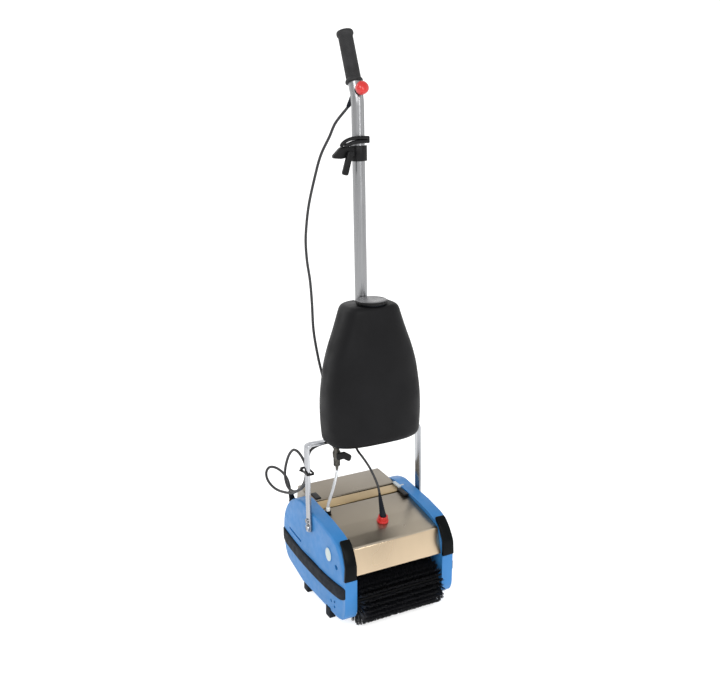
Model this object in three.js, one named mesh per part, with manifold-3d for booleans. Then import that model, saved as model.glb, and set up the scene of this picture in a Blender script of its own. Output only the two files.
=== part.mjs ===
// Upright twin-brush wet and dry floor scrubber, in millimetres.
// X runs across the machine (right as seen from its front), Y runs from front to rear, Z up.
// The floor is z = 0 and the origin lies on it, under the middle of the machine's body.
import * as THREE from 'three';
import { mergeVertices } from 'three/addons/utils/BufferGeometryUtils.js';
import Module from 'manifold-3d';

const wasm = await Module();
wasm.setup();

// ---- driving dimensions ----
const GAP = 0.3;                 // clearance between pieces that touch
const BRUSH_LENGTH = 203;
const BRUSH_RADIUS = 50;
const BRUSH_AXIS_Z = 50.6;
const FRONT_BRUSH_Y = -120;
const REAR_BRUSH_Y = 75;
const FRAME_INNER = 103.3;       // half width between the two side plates
const SIDE_OUTER = 134;          // half width over the side plates
const STRIP_OUTER = 138.5;       // half width over the bumper strips
const FRONT_Y = -147;            // front face of the side plates
const GUARD_BOTTOM = 118;        // lower edge of the corner guards
const PLATE_BOTTOM = 17;         // lower edge of the side plates
const STRIP_REAR_Y = 168;        // rear end of the bumper strips
const SHEET = 1.5;               // stainless sheet thickness
const TUBE_RADIUS = 13;
const TUBE_WALL = 1.6;
const HANDLE_LEAN = THREE.MathUtils.degToRad(2.3);
const GRIP_BEND = THREE.MathUtils.degToRad(21.5);
const PIVOT_Y = 14;
const PIVOT_Z = 170;
const BAIL_TOP = 193;            // top of the bail's crossbar, above the pivot
const BEND_Z = 900;              // corner of the bent grip end, above the pivot
const TANK_BASE = BAIL_TOP + 1.2;
const TANK_HEIGHT = 296;
const TANK_Y = -33;              // tank's middle, ahead of the tube's axis
const CLAMP_Z = 778;             // bottom of the clamp collar, above the pivot
const SWITCH_LEAD_RADIUS = 3;
const HOSE_RADIUS = 3.2;

// ---- materials ----
const material = (color, roughness, metalness) =>
  new THREE.MeshStandardMaterial({ color, roughness, metalness });
const bluePlastic = () => material(0x3f7fc4, 0.45, 0);
const blackPlastic = () => material(0x151617, 0.5, 0);
const blackRubber = () => material(0x1b1b1b, 0.85, 0);
const redPlastic = () => material(0xd0251c, 0.35, 0);
const stainless = () => material(0xb7b1a6, 0.3, 1);
const steel = () => material(0x9a9da0, 0.35, 1);
const aluminium = () => material(0xb4b6b8, 0.3, 1);
const brass = () => material(0x8c8266, 0.4, 1);
const whitePlastic = () => material(0xdddcd4, 0.5, 0);
const bristle = () => material(0x101114, 0.8, 0);
const clearHose = () => material(0xc9d2d6, 0.2, 0);

// ---- solids ----
const machine = new THREE.Group();

function add(group, name, geometry, look) {
  const mesh = new THREE.Mesh(geometry, look);
  mesh.name = name;
  group.add(mesh);
  return mesh;
}

function solid(geometry) {
  const bare = geometry.index ? geometry.toNonIndexed() : geometry.clone();
  for (const key of Object.keys(bare.attributes)) {
    if (key !== 'position') bare.deleteAttribute(key);
  }
  const merged = mergeVertices(bare, 1e-4);
  return new wasm.Manifold(new wasm.Mesh({
    numProp: 3,
    vertProperties: new Float32Array(merged.attributes.position.array),
    triVerts: new Uint32Array(merged.index.array),
  }));
}

function geometryOf(manifold) {
  const mesh = manifold.getMesh();
  const geometry = new THREE.BufferGeometry();
  geometry.setAttribute('position', new THREE.BufferAttribute(mesh.vertProperties, 3));
  geometry.setIndex(new THREE.BufferAttribute(mesh.triVerts, 1));
  geometry.computeVertexNormals();
  return geometry;
}

const cut = (body, ...tools) =>
  geometryOf(tools.reduce((rest, tool) => rest.subtract(solid(tool)), solid(body)));
const join = (body, ...others) =>
  geometryOf(others.reduce((sum, other) => sum.add(solid(other)), solid(body)));
const common = (body, other) => geometryOf(solid(body).intersect(solid(other)));

// A closed outline through corners [u, v, radius], with each corner rounded to its radius.
function outline(corners) {
  const shape = new THREE.Shape();
  const at = (i) => new THREE.Vector2(...corners[(i + corners.length) % corners.length]);
  corners.forEach((corner, i) => {
    const here = at(i);
    const radius = corner[2] ?? 0;
    const before = at(i - 1).sub(here);
    const after = at(i + 1).sub(here);
    const half = Math.abs(before.angle() - after.angle()) / 2;
    const trim = radius / Math.abs(Math.tan(half));
    const start = here.clone().addScaledVector(before.normalize(), trim);
    const end = here.clone().addScaledVector(after.normalize(), trim);
    if (i === 0) shape.moveTo(start.x, start.y);
    else shape.lineTo(start.x, start.y);
    if (radius > 0) shape.quadraticCurveTo(here.x, here.y, end.x, end.y);
  });
  shape.closePath();
  return shape;
}

function disc(u, v, radius) {
  const shape = new THREE.Shape();
  shape.absarc(u, v, radius, 0, 2 * Math.PI, false);
  return shape;
}

function ring(u, v, outer, inner) {
  const shape = disc(u, v, outer);
  shape.holes.push(disc(u, v, inner));
  return shape;
}

const TO_X = new THREE.Matrix4().makeBasis(
  new THREE.Vector3(0, 1, 0), new THREE.Vector3(0, 0, 1), new THREE.Vector3(1, 0, 0));
const TO_Y = new THREE.Matrix4().makeBasis(
  new THREE.Vector3(1, 0, 0), new THREE.Vector3(0, 0, 1), new THREE.Vector3(0, -1, 0));

function extrude(shape, depth, curveSegments, extra = {}) {
  const options = { depth, curveSegments, steps: 1, bevelEnabled: false, ...extra };
  return new THREE.ExtrudeGeometry(shape, options);
}

// Extrusion options that round the edges inside the outline.
const rounding = (bevelThickness, bevelSize, bevelSegments) =>
  ({ bevelEnabled: true, bevelThickness, bevelSize, bevelOffset: -bevelSize, bevelSegments });

// An outline in (y, z) extruded from x0 to x1.
function alongX(shape, x0, x1, segments = 3, extra = {}) {
  const low = Math.min(x0, x1);
  const body = extrude(shape, Math.abs(x1 - x0), segments, extra);
  return body.applyMatrix4(TO_X).translate(low, 0, 0);
}

// An outline in (x, z) extruded from y0 to y1.
function alongY(shape, y0, y1, segments = 3, extra = {}) {
  return extrude(shape, y1 - y0, segments, extra).applyMatrix4(TO_Y).translate(0, y1, 0);
}

// An outline in (x, y) extruded from z0 to z1.
function alongZ(shape, z0, z1, segments = 3, extra = {}) {
  return extrude(shape, z1 - z0, segments, extra).translate(0, 0, z0);
}

function block(x0, x1, y0, y1, z0, z1) {
  const box = new THREE.BoxGeometry(x1 - x0, y1 - y0, z1 - z0);
  return box.translate((x0 + x1) / 2, (y0 + y1) / 2, (z0 + z1) / 2);
}

const rodX = (y, z, radius, x0, x1, segments = 12) =>
  alongX(disc(y, z, radius), x0, x1, segments);
const tubeX = (y, z, outer, inner, x0, x1, segments = 12) =>
  alongX(ring(y, z, outer, inner), x0, x1, segments);

// A round rod through hand-placed points.
function cord(points, radius, steps, sides = 8) {
  const stations = points.map((p) => new THREE.Vector3(...p));
  const path = new THREE.CatmullRomCurve3(stations, false, 'centripetal');
  const section = new THREE.Shape();
  for (let i = 0; i < sides; i += 1) {
    const angle = (2 * Math.PI * i) / sides;
    const [u, v] = [radius * Math.cos(angle), radius * Math.sin(angle)];
    if (i === 0) section.moveTo(u, v);
    else section.lineTo(u, v);
  }
  section.closePath();
  return new THREE.ExtrudeGeometry(section, { steps, bevelEnabled: false, extrudePath: path });
}

// A folded sheet: a line of (y, z) points thickened inwards, to the right of its direction.
function foldedSheet(points, thickness, halfWidth) {
  const line = points.map(([y, z]) => new THREE.Vector2(y, z));
  const normal = (i) => {
    const along = line[i + 1].clone().sub(line[i]).normalize();
    return new THREE.Vector2(along.y, -along.x);
  };
  const inner = line.map((point, i) => {
    const first = normal(Math.max(i - 1, 0));
    const second = normal(Math.min(i, line.length - 2));
    const mitre = first.clone().add(second).normalize();
    return point.clone().addScaledVector(mitre, thickness / mitre.dot(first));
  });
  const shape = new THREE.Shape([...line, ...inner.reverse()]);
  return alongX(shape, -halfWidth, halfWidth);
}

// ---- side plates ----
const REAR_ARC = { y: 55, z: 95, radius: 115 };

// The side view of a side plate, drawn in by the given inset.
function plateOutline(inset, guardCut = 0) {
  const arc = REAR_ARC;
  const radius = arc.radius - inset;
  const shape = new THREE.Shape();
  const front = FRONT_Y + inset;
  const bottom = PLATE_BOTTOM + inset;
  const cutBack = guardCut + inset;
  shape.moveTo(front + 38, bottom);
  shape.lineTo(50, bottom);
  const from = -0.42;
  shape.lineTo(124, 28 + inset);
  shape.quadraticCurveTo(148, 30 + inset,
    arc.y + radius * Math.cos(from), arc.z + radius * Math.sin(from));
  shape.absarc(arc.y, arc.z, radius, from, 1.5, false);
  shape.lineTo(-40, 203 - inset);
  shape.lineTo(-88, 196 - inset);
  shape.lineTo(-113 + cutBack / 2, 189 - inset);
  shape.quadraticCurveTo(-132 + cutBack, 181 - inset, front + cutBack, 150 - inset);
  shape.lineTo(front + cutBack, GUARD_BOTTOM);
  shape.lineTo(front, GUARD_BOTTOM);
  shape.lineTo(front, bottom + 34);
  shape.quadraticCurveTo(front + 2, bottom + 2, front + 38, bottom);
  return shape;
}

function sidePlate(side) {
  const round = rounding(9, 9, 3);
  const plate = alongX(plateOutline(0, 6), side * 85, side * (SIDE_OUTER - 9), 8, round);
  const inner = side * (FRAME_INNER - 50);
  const trim = block(Math.min(inner, side * FRAME_INNER), Math.max(inner, side * FRAME_INNER),
    -400, 400, -50, 400);
  const pocket = alongX(plateOutline(4, 6), side * 90, side * 128, 6);
  const boltHole = rodX(PIVOT_Y, PIVOT_Z, 4.3, side * 120, side * 140, 8);
  const groove = alongX(outline([[58, 114.5], [128, 116.5], [128, 120.5], [58, 118.5]]),
    side * (SIDE_OUTER - 1.5), side * 145);
  return cut(plate, trim, pocket, boltHole, groove);
}

const FOOT_Y = [-73, 41];
const FOOT_X = 129;

// A rubber foot whose top follows the rounded lower edge of its side plate.
function foot(side, y) {
  const sole = outline([[y - 11, 0, 4], [y + 11, 0, 4], [y + 11, 24], [y - 11, 24]]);
  const body = alongX(sole, side * (FOOT_X - 7), side * (FOOT_X + 7));
  const round = rounding(9, 9, 3);
  const plate = alongX(plateOutline(-GAP), side * 85, side * (SIDE_OUTER - 9 + GAP), 8, round);
  return cut(body, plate);
}

function buildSide(side, word) {
  add(machine, `${word}_side_plate`, sidePlate(side), bluePlastic());
  const frame = alongX(plateOutline(7, 7), side * 104.5, side * 107.5, 5);
  const holes = [
    rodX(FRONT_BRUSH_Y, BRUSH_AXIS_Z, 15.4, side * 100, side * 112, 12),
    rodX(REAR_BRUSH_Y, BRUSH_AXIS_Z, 15.4, side * 100, side * 112, 12),
    rodX(DRUM_Y, DRUM_Z, 6.4, side * 100, side * 112, 8),
    rodX(MOTOR_Y, MOTOR_Z, 9, side * 100, side * 112, 10),
    rodX(CROSS_ROD_Y, CROSS_ROD_Z, 4.4, side * 100, side * 112, 8),
    rodX(IDLER_Y, IDLER_Z, 4.4, side * 100, side * 112, 8),
  ];
  add(machine, `${word}_frame_plate`, cut(frame, ...holes), steel());
  for (const [where, y] of [['front', FRONT_BRUSH_Y], ['rear', REAR_BRUSH_Y]]) {
    const bearing = tubeX(y, BRUSH_AXIS_Z, 15, 6.35, side * 102.4, side * 111, 10);
    add(machine, `${word}_${where}_bearing`, bearing, steel());
  }
  add(machine, `${word}_bumper_strip`, bumperStrip(side), blackRubber());
  add(machine, `${word}_corner_guard`, cornerGuard(side), blackRubber());
  FOOT_Y.forEach((y, i) => {
    add(machine, `${word}_${i ? 'rear' : 'front'}_foot`, foot(side, y), blackRubber());
  });
  const bolt = join(rodX(PIVOT_Y, PIVOT_Z, 4, side * 124, side * 140.2, 8),
    rodX(PIVOT_Y, PIVOT_Z, 8, side * 139.8, side * 144, 6));
  add(machine, `${word}_pivot_bolt`, bolt, steel());
}

function bumperStrip(side) {
  const inner = SIDE_OUTER + GAP;
  const front = FRONT_Y + 1;
  const strip = outline([[front, 70, 9], [front, 102, 5], [STRIP_REAR_Y, 99, 4], [STRIP_REAR_Y, 67, 6]]);
  const round = rounding(2, 2, 2);
  const band = alongX(strip, side * (inner + 2), side * (STRIP_OUTER - 2), 4, round);
  return geometryOf(solid(band));
}

function cornerGuard(side) {
  const shape = new THREE.Shape();
  shape.moveTo(FRONT_Y - 2, GUARD_BOTTOM + 0.4);
  shape.lineTo(FRONT_Y + 5.6, GUARD_BOTTOM + 0.4);
  shape.lineTo(FRONT_Y + 5.6, 150);
  shape.quadraticCurveTo(-132 + 5.6, 181.6, -110.4, 190);
  shape.lineTo(-113, 198);
  shape.quadraticCurveTo(-135, 188.5, FRONT_Y - 2, 152);
  const round = rounding(2.5, 2, 2);
  const guard = alongX(shape, side * (FRAME_INNER + 2.8), side * (SIDE_OUTER - 2.5), 8, round);
  const plate = alongX(plateOutline(-GAP, 6), side * 90, side * 150, 8);
  return cut(guard, plate);
}

// ---- drive ----
const MOTOR_Y = 100;
const MOTOR_Z = 150;
const IDLER_Y = 138;
const IDLER_Z = 62;
const DRUM_Y = -22.5;
const DRUM_Z = 66;
const CROSS_ROD_Y = -60;
const CROSS_ROD_Z = 170;
const BELT_X = -119;
const BELT_HALF_WIDTH = 4.5;
const BELT_HALF_THICKNESS = 1.6;
const MOTOR_TEETH = 20;
const BRUSH_TEETH = 30;
const IDLER_TEETH = 16;
const TOOTH_RADIUS = 0.58;       // pulley radius per tooth

// The belt's loop: each pulley's centre, radius and side (1 inside the loop, -1 outside).
const BELT_ROUTE = [
  { y: FRONT_BRUSH_Y, z: BRUSH_AXIS_Z, radius: BRUSH_TEETH * TOOTH_RADIUS, side: 1 },
  { y: REAR_BRUSH_Y, z: BRUSH_AXIS_Z, radius: BRUSH_TEETH * TOOTH_RADIUS, side: -1 },
  { y: IDLER_Y, z: IDLER_Z, radius: IDLER_TEETH * TOOTH_RADIUS, side: 1 },
  { y: MOTOR_Y, z: MOTOR_Z, radius: MOTOR_TEETH * TOOTH_RADIUS, side: 1 },
];

function beltLine(offset) {
  const clear = 2.5 * GAP + BELT_HALF_THICKNESS;
  const wheels = BELT_ROUTE.map((w) => ({ ...w, reach: w.side * (w.radius + clear) + offset }));
  const heading = wheels.map((wheel, i) => {
    const next = wheels[(i + 1) % wheels.length];
    const toNext = Math.atan2(next.z - wheel.z, next.y - wheel.y);
    const span = Math.hypot(next.z - wheel.z, next.y - wheel.y);
    return toNext + Math.asin((wheel.reach - next.reach) / span);
  });
  const points = [];
  wheels.forEach((wheel, i) => {
    const start = heading[(i + wheels.length - 1) % wheels.length] - Math.PI / 2;
    let sweep = heading[i] - Math.PI / 2 - start;
    while (wheel.side * sweep < 0) sweep += wheel.side * 2 * Math.PI;
    while (wheel.side * sweep > 2 * Math.PI) sweep -= wheel.side * 2 * Math.PI;
    const steps = 10;
    for (let k = 0; k <= steps; k += 1) {
      const angle = start + (sweep * k) / steps;
      points.push(new THREE.Vector2(
        wheel.y + wheel.reach * Math.cos(angle), wheel.z + wheel.reach * Math.sin(angle)));
    }
  });
  return points;
}

function driveBelt() {
  const shape = new THREE.Shape(beltLine(BELT_HALF_THICKNESS));
  shape.holes.push(new THREE.Path(beltLine(-BELT_HALF_THICKNESS)));
  return alongX(shape, BELT_X - BELT_HALF_WIDTH, BELT_X + BELT_HALF_WIDTH);
}

const pulley = (y, z, teeth, bore) =>
  tubeX(y, z, teeth * TOOTH_RADIUS, bore, BELT_X - 5.5, BELT_X + 5.5, 14);

function brush(word, y) {
  const half = BRUSH_LENGTH / 2;
  const shaft = rodX(y, BRUSH_AXIS_Z, 6, -126, 110, 8);
  add(machine, `${word}_brush_shaft`, shaft, steel());
  add(machine, `${word}_brush_core`,
    tubeX(y, BRUSH_AXIS_Z, 22, 6.3, -half + 1, half - 1, 10), blackPlastic());
  const rows = 18;
  const tufts = new THREE.Shape();
  for (let i = 0; i < rows * 2; i += 1) {
    const angle = (Math.PI * i) / rows;
    const reach = i % 2 ? BRUSH_RADIUS - 3 : BRUSH_RADIUS;
    const [u, v] = [y + reach * Math.cos(angle), BRUSH_AXIS_Z + reach * Math.sin(angle)];
    if (i === 0) tufts.moveTo(u, v);
    else tufts.lineTo(u, v);
  }
  tufts.holes.push(disc(y, BRUSH_AXIS_Z, 22.3));
  add(machine, `${word}_brush_bristles`, alongX(tufts, -half, half, 10), bristle());
  add(machine, `${word}_brush_pulley`, pulley(y, BRUSH_AXIS_Z, BRUSH_TEETH, 6.3), blackPlastic());
}

function buildDrive() {
  brush('front', FRONT_BRUSH_Y);
  brush('rear', REAR_BRUSH_Y);
  const housing = rodX(MOTOR_Y, MOTOR_Z, 35, -104.2, 70, 14);
  const bore = rodX(MOTOR_Y, MOTOR_Z, 6, -110, -90, 8);
  add(machine, 'motor_housing', cut(housing, bore), blackPlastic());
  add(machine, 'motor_shaft', join(rodX(MOTOR_Y, MOTOR_Z, 5, -126, -92, 8),
    pulley(MOTOR_Y, MOTOR_Z, MOTOR_TEETH, 4)), steel());
  add(machine, 'idler_pulley', join(rodX(IDLER_Y, IDLER_Z, 4, -126, -102, 8),
    pulley(IDLER_Y, IDLER_Z, IDLER_TEETH, 3)), steel());
  add(machine, 'drive_belt', driveBelt(), blackRubber());
  add(machine, 'pickup_drum', join(rodX(DRUM_Y, DRUM_Z, 34, -101, 101, 12),
    rodX(DRUM_Y, DRUM_Z, 6, -109, 109, 8)), whitePlastic());
}

// ---- covers, tray and water ----
function recoveryTray() {
  const half = 100;
  const outside = outline([[-66, 112, 10], [21, 112, 10], [21, 164], [-66, 164]]);
  const inside = outline([[-63, 115, 8], [18, 115, 8], [18, 190], [-63, 190]]);
  return cut(alongX(outside, -half, half, 3), alongX(inside, -half + 3, half - 3, 3));
}

function rearCover() {
  const half = 102.5;
  const skin = [[61, 140], [61, 205.6, 3], [151, 207.5, 9], [160, 160, 20], [166, 100, 20],
    [150, 52]];
  const hollow = [[62.5, 100], [62.5, 204.1, 2], [150, 206, 8], [158.4, 160, 20], [164.4, 100, 20],
    [148.6, 52], [100, 30]];
  const body = cut(alongX(outline(skin), -half, half),
    alongX(outline(hollow), -half + SHEET, half - SHEET));
  const cheek = REAR_ARC.radius - 6;
  return cut(body,
    rodX(REAR_ARC.y, REAR_ARC.z, cheek, -half - 1, -half + SHEET + 0.2, 20),
    rodX(REAR_ARC.y, REAR_ARC.z, cheek, half - SHEET - 0.2, half + 1, 20));
}

function buildCovers() {
  const front = [[-131, 119], [-140, 122], [-141, 125], [-127, 176], [-123, 179.5], [-90, 186.5],
    [-50, 193], [22, 202], [22, 188]];
  add(machine, 'front_cover', foldedSheet(front, SHEET, 102.5), stainless());
  const bridge = [[25.5, 176], [25.5, 202.6], [57.5, 205], [57.5, 178]];
  add(machine, 'centre_bridge', foldedSheet(bridge, SHEET * 2, 102.5), stainless());
  add(machine, 'rear_cover', rearCover(), stainless());
  add(machine, 'recovery_tray', recoveryTray(), whitePlastic());
  add(machine, 'cross_rod', rodX(CROSS_ROD_Y, CROSS_ROD_Z, 4, -109, 109, 8), steel());
  add(machine, 'spray_bar', rodX(-96, 122, 4.5, -99, 99, 8), whitePlastic());
  const socket = lathe([[0, 0], [13, 0], [13, 4], [11, 9], [5, 9], [5, 5], [0, 5]], 14);
  add(machine, 'lead_socket', socket.rotateX(0.161).translate(0, -66, 190.8), redPlastic());
  const gland = lathe([[0, -22], [8, -22], [8, 8], [6.8, 10], [6.4, 20], [4.6, 30], [0, 30]], 10)
    .rotateX(-0.18).rotateY(-0.15).translate(-120, 141, 170);
  const plateTop = alongX(plateOutline(-GAP), -140, -100, 8);
  add(machine, 'lead_gland', cut(gland, plateTop), blackPlastic());
  const elbow = join(rodZ(0, 0, 6.5, 0, 5), rodZ(0, 0, 3, 4, 13));
  add(machine, 'hose_fitting', elbow.translate(-96.3, 4, 201), blackPlastic());
}

// A turned piece about +Z, from its (radius, height) profile, which starts and ends on the axis.
function lathe(points, segments) {
  const profile = points.map(([r, z]) => new THREE.Vector2(r, z));
  if (THREE.ShapeUtils.area(profile) < 0) profile.reverse();
  return new THREE.LatheGeometry(profile, segments).rotateX(Math.PI / 2);
}

const rodZ = (x, y, radius, z0, z1, segments = 10) => alongZ(disc(x, y, radius), z0, z1, segments);

// ---- handle ----
const handle = new THREE.Group();
handle.position.set(0, PIVOT_Y, PIVOT_Z);
handle.rotation.x = -HANDLE_LEAN;
machine.add(handle);

// A frame on the bent grip end: +Z along the tube, -Y towards the front.
const bent = new THREE.Group();
bent.position.set(0, 0, BEND_Z);
bent.rotation.x = -GRIP_BEND;
handle.add(bent);

function buildBail() {
  const outer = 139.5;
  const inner = 134.5;
  const bar = outline([[-outer, -9, 4], [-inner, -9], [-inner, BAIL_TOP - 5, 5], [inner, BAIL_TOP - 5, 5],
    [inner, -9], [outer, -9, 4], [outer, BAIL_TOP, 10], [-outer, BAIL_TOP, 10]]);
  const bail = alongY(bar, -10, 10, 3);
  const holes = [-1, 1].map((side) => rodX(0, 0, 4.3, side * 130, side * 145, 8));
  const drilled = cut(bail, ...holes);
  const pins = [-1, 1].map((side) => rodX(4, 15, 5.5, side * 139, side * 143, 6));
  const spigot = [
    rodZ(0, 0, 9.2, BAIL_TOP - 1, BAIL_TOP + 40),
    rodZ(0, 0, TUBE_RADIUS, BAIL_TOP - 1, BAIL_TOP + 3),
  ];
  add(handle, 'bail', join(drilled, ...pins, ...spigot), steel());
}

// A hollow round tube through stations [y, z], bending in that plane only.
function bentTube(stations, outer, inner, sides) {
  const line = stations.map(([y, z]) => new THREE.Vector2(y, z));
  const heading = (i) => line[i + 1].clone().sub(line[i]).normalize();
  const last = line.length - 1;
  const positions = [];
  line.forEach((point, i) => {
    const before = heading(Math.max(i - 1, 0));
    const mean = before.clone().add(heading(Math.min(i, last - 1))).normalize();
    const stretch = 1 / mean.dot(before);
    for (const radius of [outer, inner]) {
      for (let k = 0; k < sides; k += 1) {
        const angle = (2 * Math.PI * k) / sides;
        const out = radius * stretch * Math.sin(angle);
        positions.push(radius * Math.cos(angle), point.x + mean.y * out, point.y - mean.x * out);
      }
    }
  });
  const at = (i, layer, k) => (i * 2 + layer) * sides + (k % sides);
  const index = [];
  const quad = (a, b, c, d) => index.push(a, c, b, a, d, c);
  for (let k = 0; k < sides; k += 1) {
    for (let i = 0; i < last; i += 1) {
      quad(at(i, 0, k), at(i + 1, 0, k), at(i + 1, 0, k + 1), at(i, 0, k + 1));
      quad(at(i, 1, k + 1), at(i + 1, 1, k + 1), at(i + 1, 1, k), at(i, 1, k));
    }
    quad(at(0, 0, k), at(0, 0, k + 1), at(0, 1, k + 1), at(0, 1, k));
    quad(at(last, 0, k + 1), at(last, 0, k), at(last, 1, k), at(last, 1, k + 1));
  }
  const tube = new THREE.BufferGeometry();
  tube.setAttribute('position', new THREE.Float32BufferAttribute(positions, 3));
  tube.setIndex(index);
  tube.computeVertexNormals();
  return tube;
}

const BEND_RADIUS = 70;
const BEND_STEPS = 5;
const TUBE_END = 136;            // end of the tube, along the bent part

function buildTube() {
  const trim = BEND_RADIUS * Math.tan(GRIP_BEND / 2);
  const stations = [[0, BAIL_TOP + 3 + GAP]];
  for (let k = 0; k <= BEND_STEPS; k += 1) {
    const angle = (GRIP_BEND * k) / BEND_STEPS;
    stations.push([BEND_RADIUS * (1 - Math.cos(angle)), BEND_Z - trim + BEND_RADIUS * Math.sin(angle)]);
  }
  stations.push([TUBE_END * Math.sin(GRIP_BEND), BEND_Z + TUBE_END * Math.cos(GRIP_BEND)]);
  add(handle, 'handle_tube', bentTube(stations, TUBE_RADIUS, TUBE_RADIUS - TUBE_WALL, 16), aluminium());
}

function buildGrip() {
  const bore = TUBE_RADIUS + GAP;
  const [low, high] = [34, 141];
  const grip = lathe([[0, high], [14, high], [17.4, high - 3], [17.4, high - 8], [15, high - 13],
    [15, low + 6], [18, low + 3], [18, low], [bore, low], [bore, high - 4], [0, high - 4]], 18);
  add(bent, 'hand_grip', grip, blackRubber());
  const across = new THREE.Matrix4().makeRotationX(Math.PI / 2);
  const housing = lathe([[0, 8], [9.5, 8], [9.5, 21], [5.3, 21], [5.3, 14.2], [0, 14.2]], 12)
    .applyMatrix4(across).translate(0, 0, 12);
  const seat = rodZ(0, 0, TUBE_RADIUS + GAP, -30, 60, 16);
  add(bent, 'button_housing', cut(housing, seat), blackPlastic());
  const button = lathe([[0, 18.5], [5, 18.5], [5, 25.5], [12, 25.5], [13.2, 28], [12.5, 32], [9, 35.5],
    [4, 37], [0, 37.3]], 16).applyMatrix4(across).translate(0, 0, 12);
  add(bent, 'push_button', button, redPlastic());
}

function buildClamp() {
  const collar = alongZ(ring(0, 0, 17.5, TUBE_RADIUS + GAP), CLAMP_Z, CLAMP_Z + 31, 12);
  const jawShape = outline([[-16, CLAMP_Z + 29], [-40, CLAMP_Z + 31, 4], [-62, CLAMP_Z + 13, 4],
    [-60, CLAMP_Z + 8, 2], [-30, CLAMP_Z + 9], [-16, CLAMP_Z + 12]]);
  const jaw = alongY(jawShape, -12, -1);
  const bore = alongZ(disc(0, 0, TUBE_RADIUS + GAP), CLAMP_Z - 1, CLAMP_Z + 32, 12);
  add(handle, 'clamp_collar', cut(join(collar, jaw), bore), blackPlastic());
  const hook = outline([[-47, CLAMP_Z + 31.5, 3], [-36, CLAMP_Z + 42, 6], [-14, CLAMP_Z + 48, 6],
    [15, CLAMP_Z + 48, 3], [15, CLAMP_Z + 35, 3], [-4, CLAMP_Z + 35, 4], [-20, CLAMP_Z + 31.5]]);
  const eye = outline([[-39, CLAMP_Z + 34.5], [-34, CLAMP_Z + 39.5], [-21, CLAMP_Z + 43],
    [-26, CLAMP_Z + 36.5]]);
  add(handle, 'cable_hook', cut(alongY(hook, -24, -14), alongY(eye, -30, -8)), blackPlastic());
  const pivot = [-26, CLAMP_Z + 16];
  const leverShape = outline([[pivot[0] - 5, pivot[1] + 5, 4], [pivot[0] - 20, pivot[1] - 41, 4],
    [pivot[0] - 9, pivot[1] - 43, 4], [pivot[0] + 5, pivot[1] + 5, 4]]);
  add(handle, 'clamp_lever', alongY(leverShape, -22, -12 - GAP), blackPlastic());
}

// ---- tank ----
// The tank's half width and half depth at a height above its base.
const TANK_LEVELS = [
  [0, 98, 51], [4, 104, 57], [12, 107, 60], [70, 110, 61], [100, 109, 61], [135, 105, 60],
  [170, 99, 59], [205, 89, 57], [240, 76, 54], [280, 62.5, 50], [290, 59.5, 48.5],
  [TANK_HEIGHT, 52, 44],
];

function bell(inset, segments) {
  const last = TANK_LEVELS.length - 1;
  const rows = TANK_LEVELS.map(([z, a, b], i) =>
    [i === 0 ? z + inset : i === last ? z - inset : z, a - inset, b - inset]);
  const profile = [[0, rows[0][0]], ...rows.map(([z, a]) => [a, z]), [0, rows[last][0]]];
  const body = lathe(profile, segments);
  const position = body.attributes.position;
  const depthAt = (height) => {
    const nearest = rows.reduce((best, row) =>
      (Math.abs(row[0] - height) < Math.abs(best[0] - height) ? row : best));
    return nearest[2] / nearest[1];
  };
  const power = 3;
  for (let i = 0; i < position.count; i += 1) {
    const [x, y, z] = [position.getX(i), position.getY(i), position.getZ(i)];
    const radius = Math.hypot(x, y);
    if (radius > 1e-6) {
      const [c, s] = [Math.abs(x / radius), Math.abs(y / radius)];
      const square = (c ** power + s ** power) ** (-1 / power);
      position.setXY(i, x * square, y * square * depthAt(z));
    }
  }
  return body.translate(0, TANK_Y, TANK_BASE);
}

function buildTank() {
  const groove = (half, front, radius) =>
    alongZ(outline([[-half, front, radius], [half, front, radius], [half, 60], [-half, 60]]), 150, 540, 3);
  const slot = groove(13.8, -14.2, 8);
  const slotWall = groove(18, -18.4, 9);
  const hollow = cut(bell(4, 28), slotWall);
  const neck = rodZ(0, CAP_Y, 24, TANK_BASE + TANK_HEIGHT - 20, TANK_BASE + TANK_HEIGHT + 5, 14);
  const drain = rodZ(TAP_X, TAP_Y, 5.3, TANK_BASE - 5, TANK_BASE + 10, 8);
  add(handle, 'tank', cut(bell(0, 28), slot, hollow, neck, drain), blackPlastic());
  const top = TANK_BASE + TANK_HEIGHT + GAP;
  const seal = alongZ(ring(0, CAP_Y, 29, 24), top, top + SEAL_THICKNESS, 12);
  add(handle, 'cap_seal', seal, blackRubber());
  const under = top + SEAL_THICKNESS + GAP;
  const cap = lathe([[0, under], [20, under], [20, under - 9], [22, under - 9], [22, under],
    [CAP_RADIUS, under], [CAP_RADIUS, under + 6], [CAP_RADIUS - 2, under + 8], [0, under + 8.5]], 20);
  add(handle, 'filler_cap', cap.translate(0, CAP_Y, 0), blackPlastic());
}

const CAP_RADIUS = 33;
const SEAL_THICKNESS = 2;
const CAP_Y = -TUBE_RADIUS - CAP_RADIUS - 0.8;
const TAP_X = -84;
const TAP_Y = -36;

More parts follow.
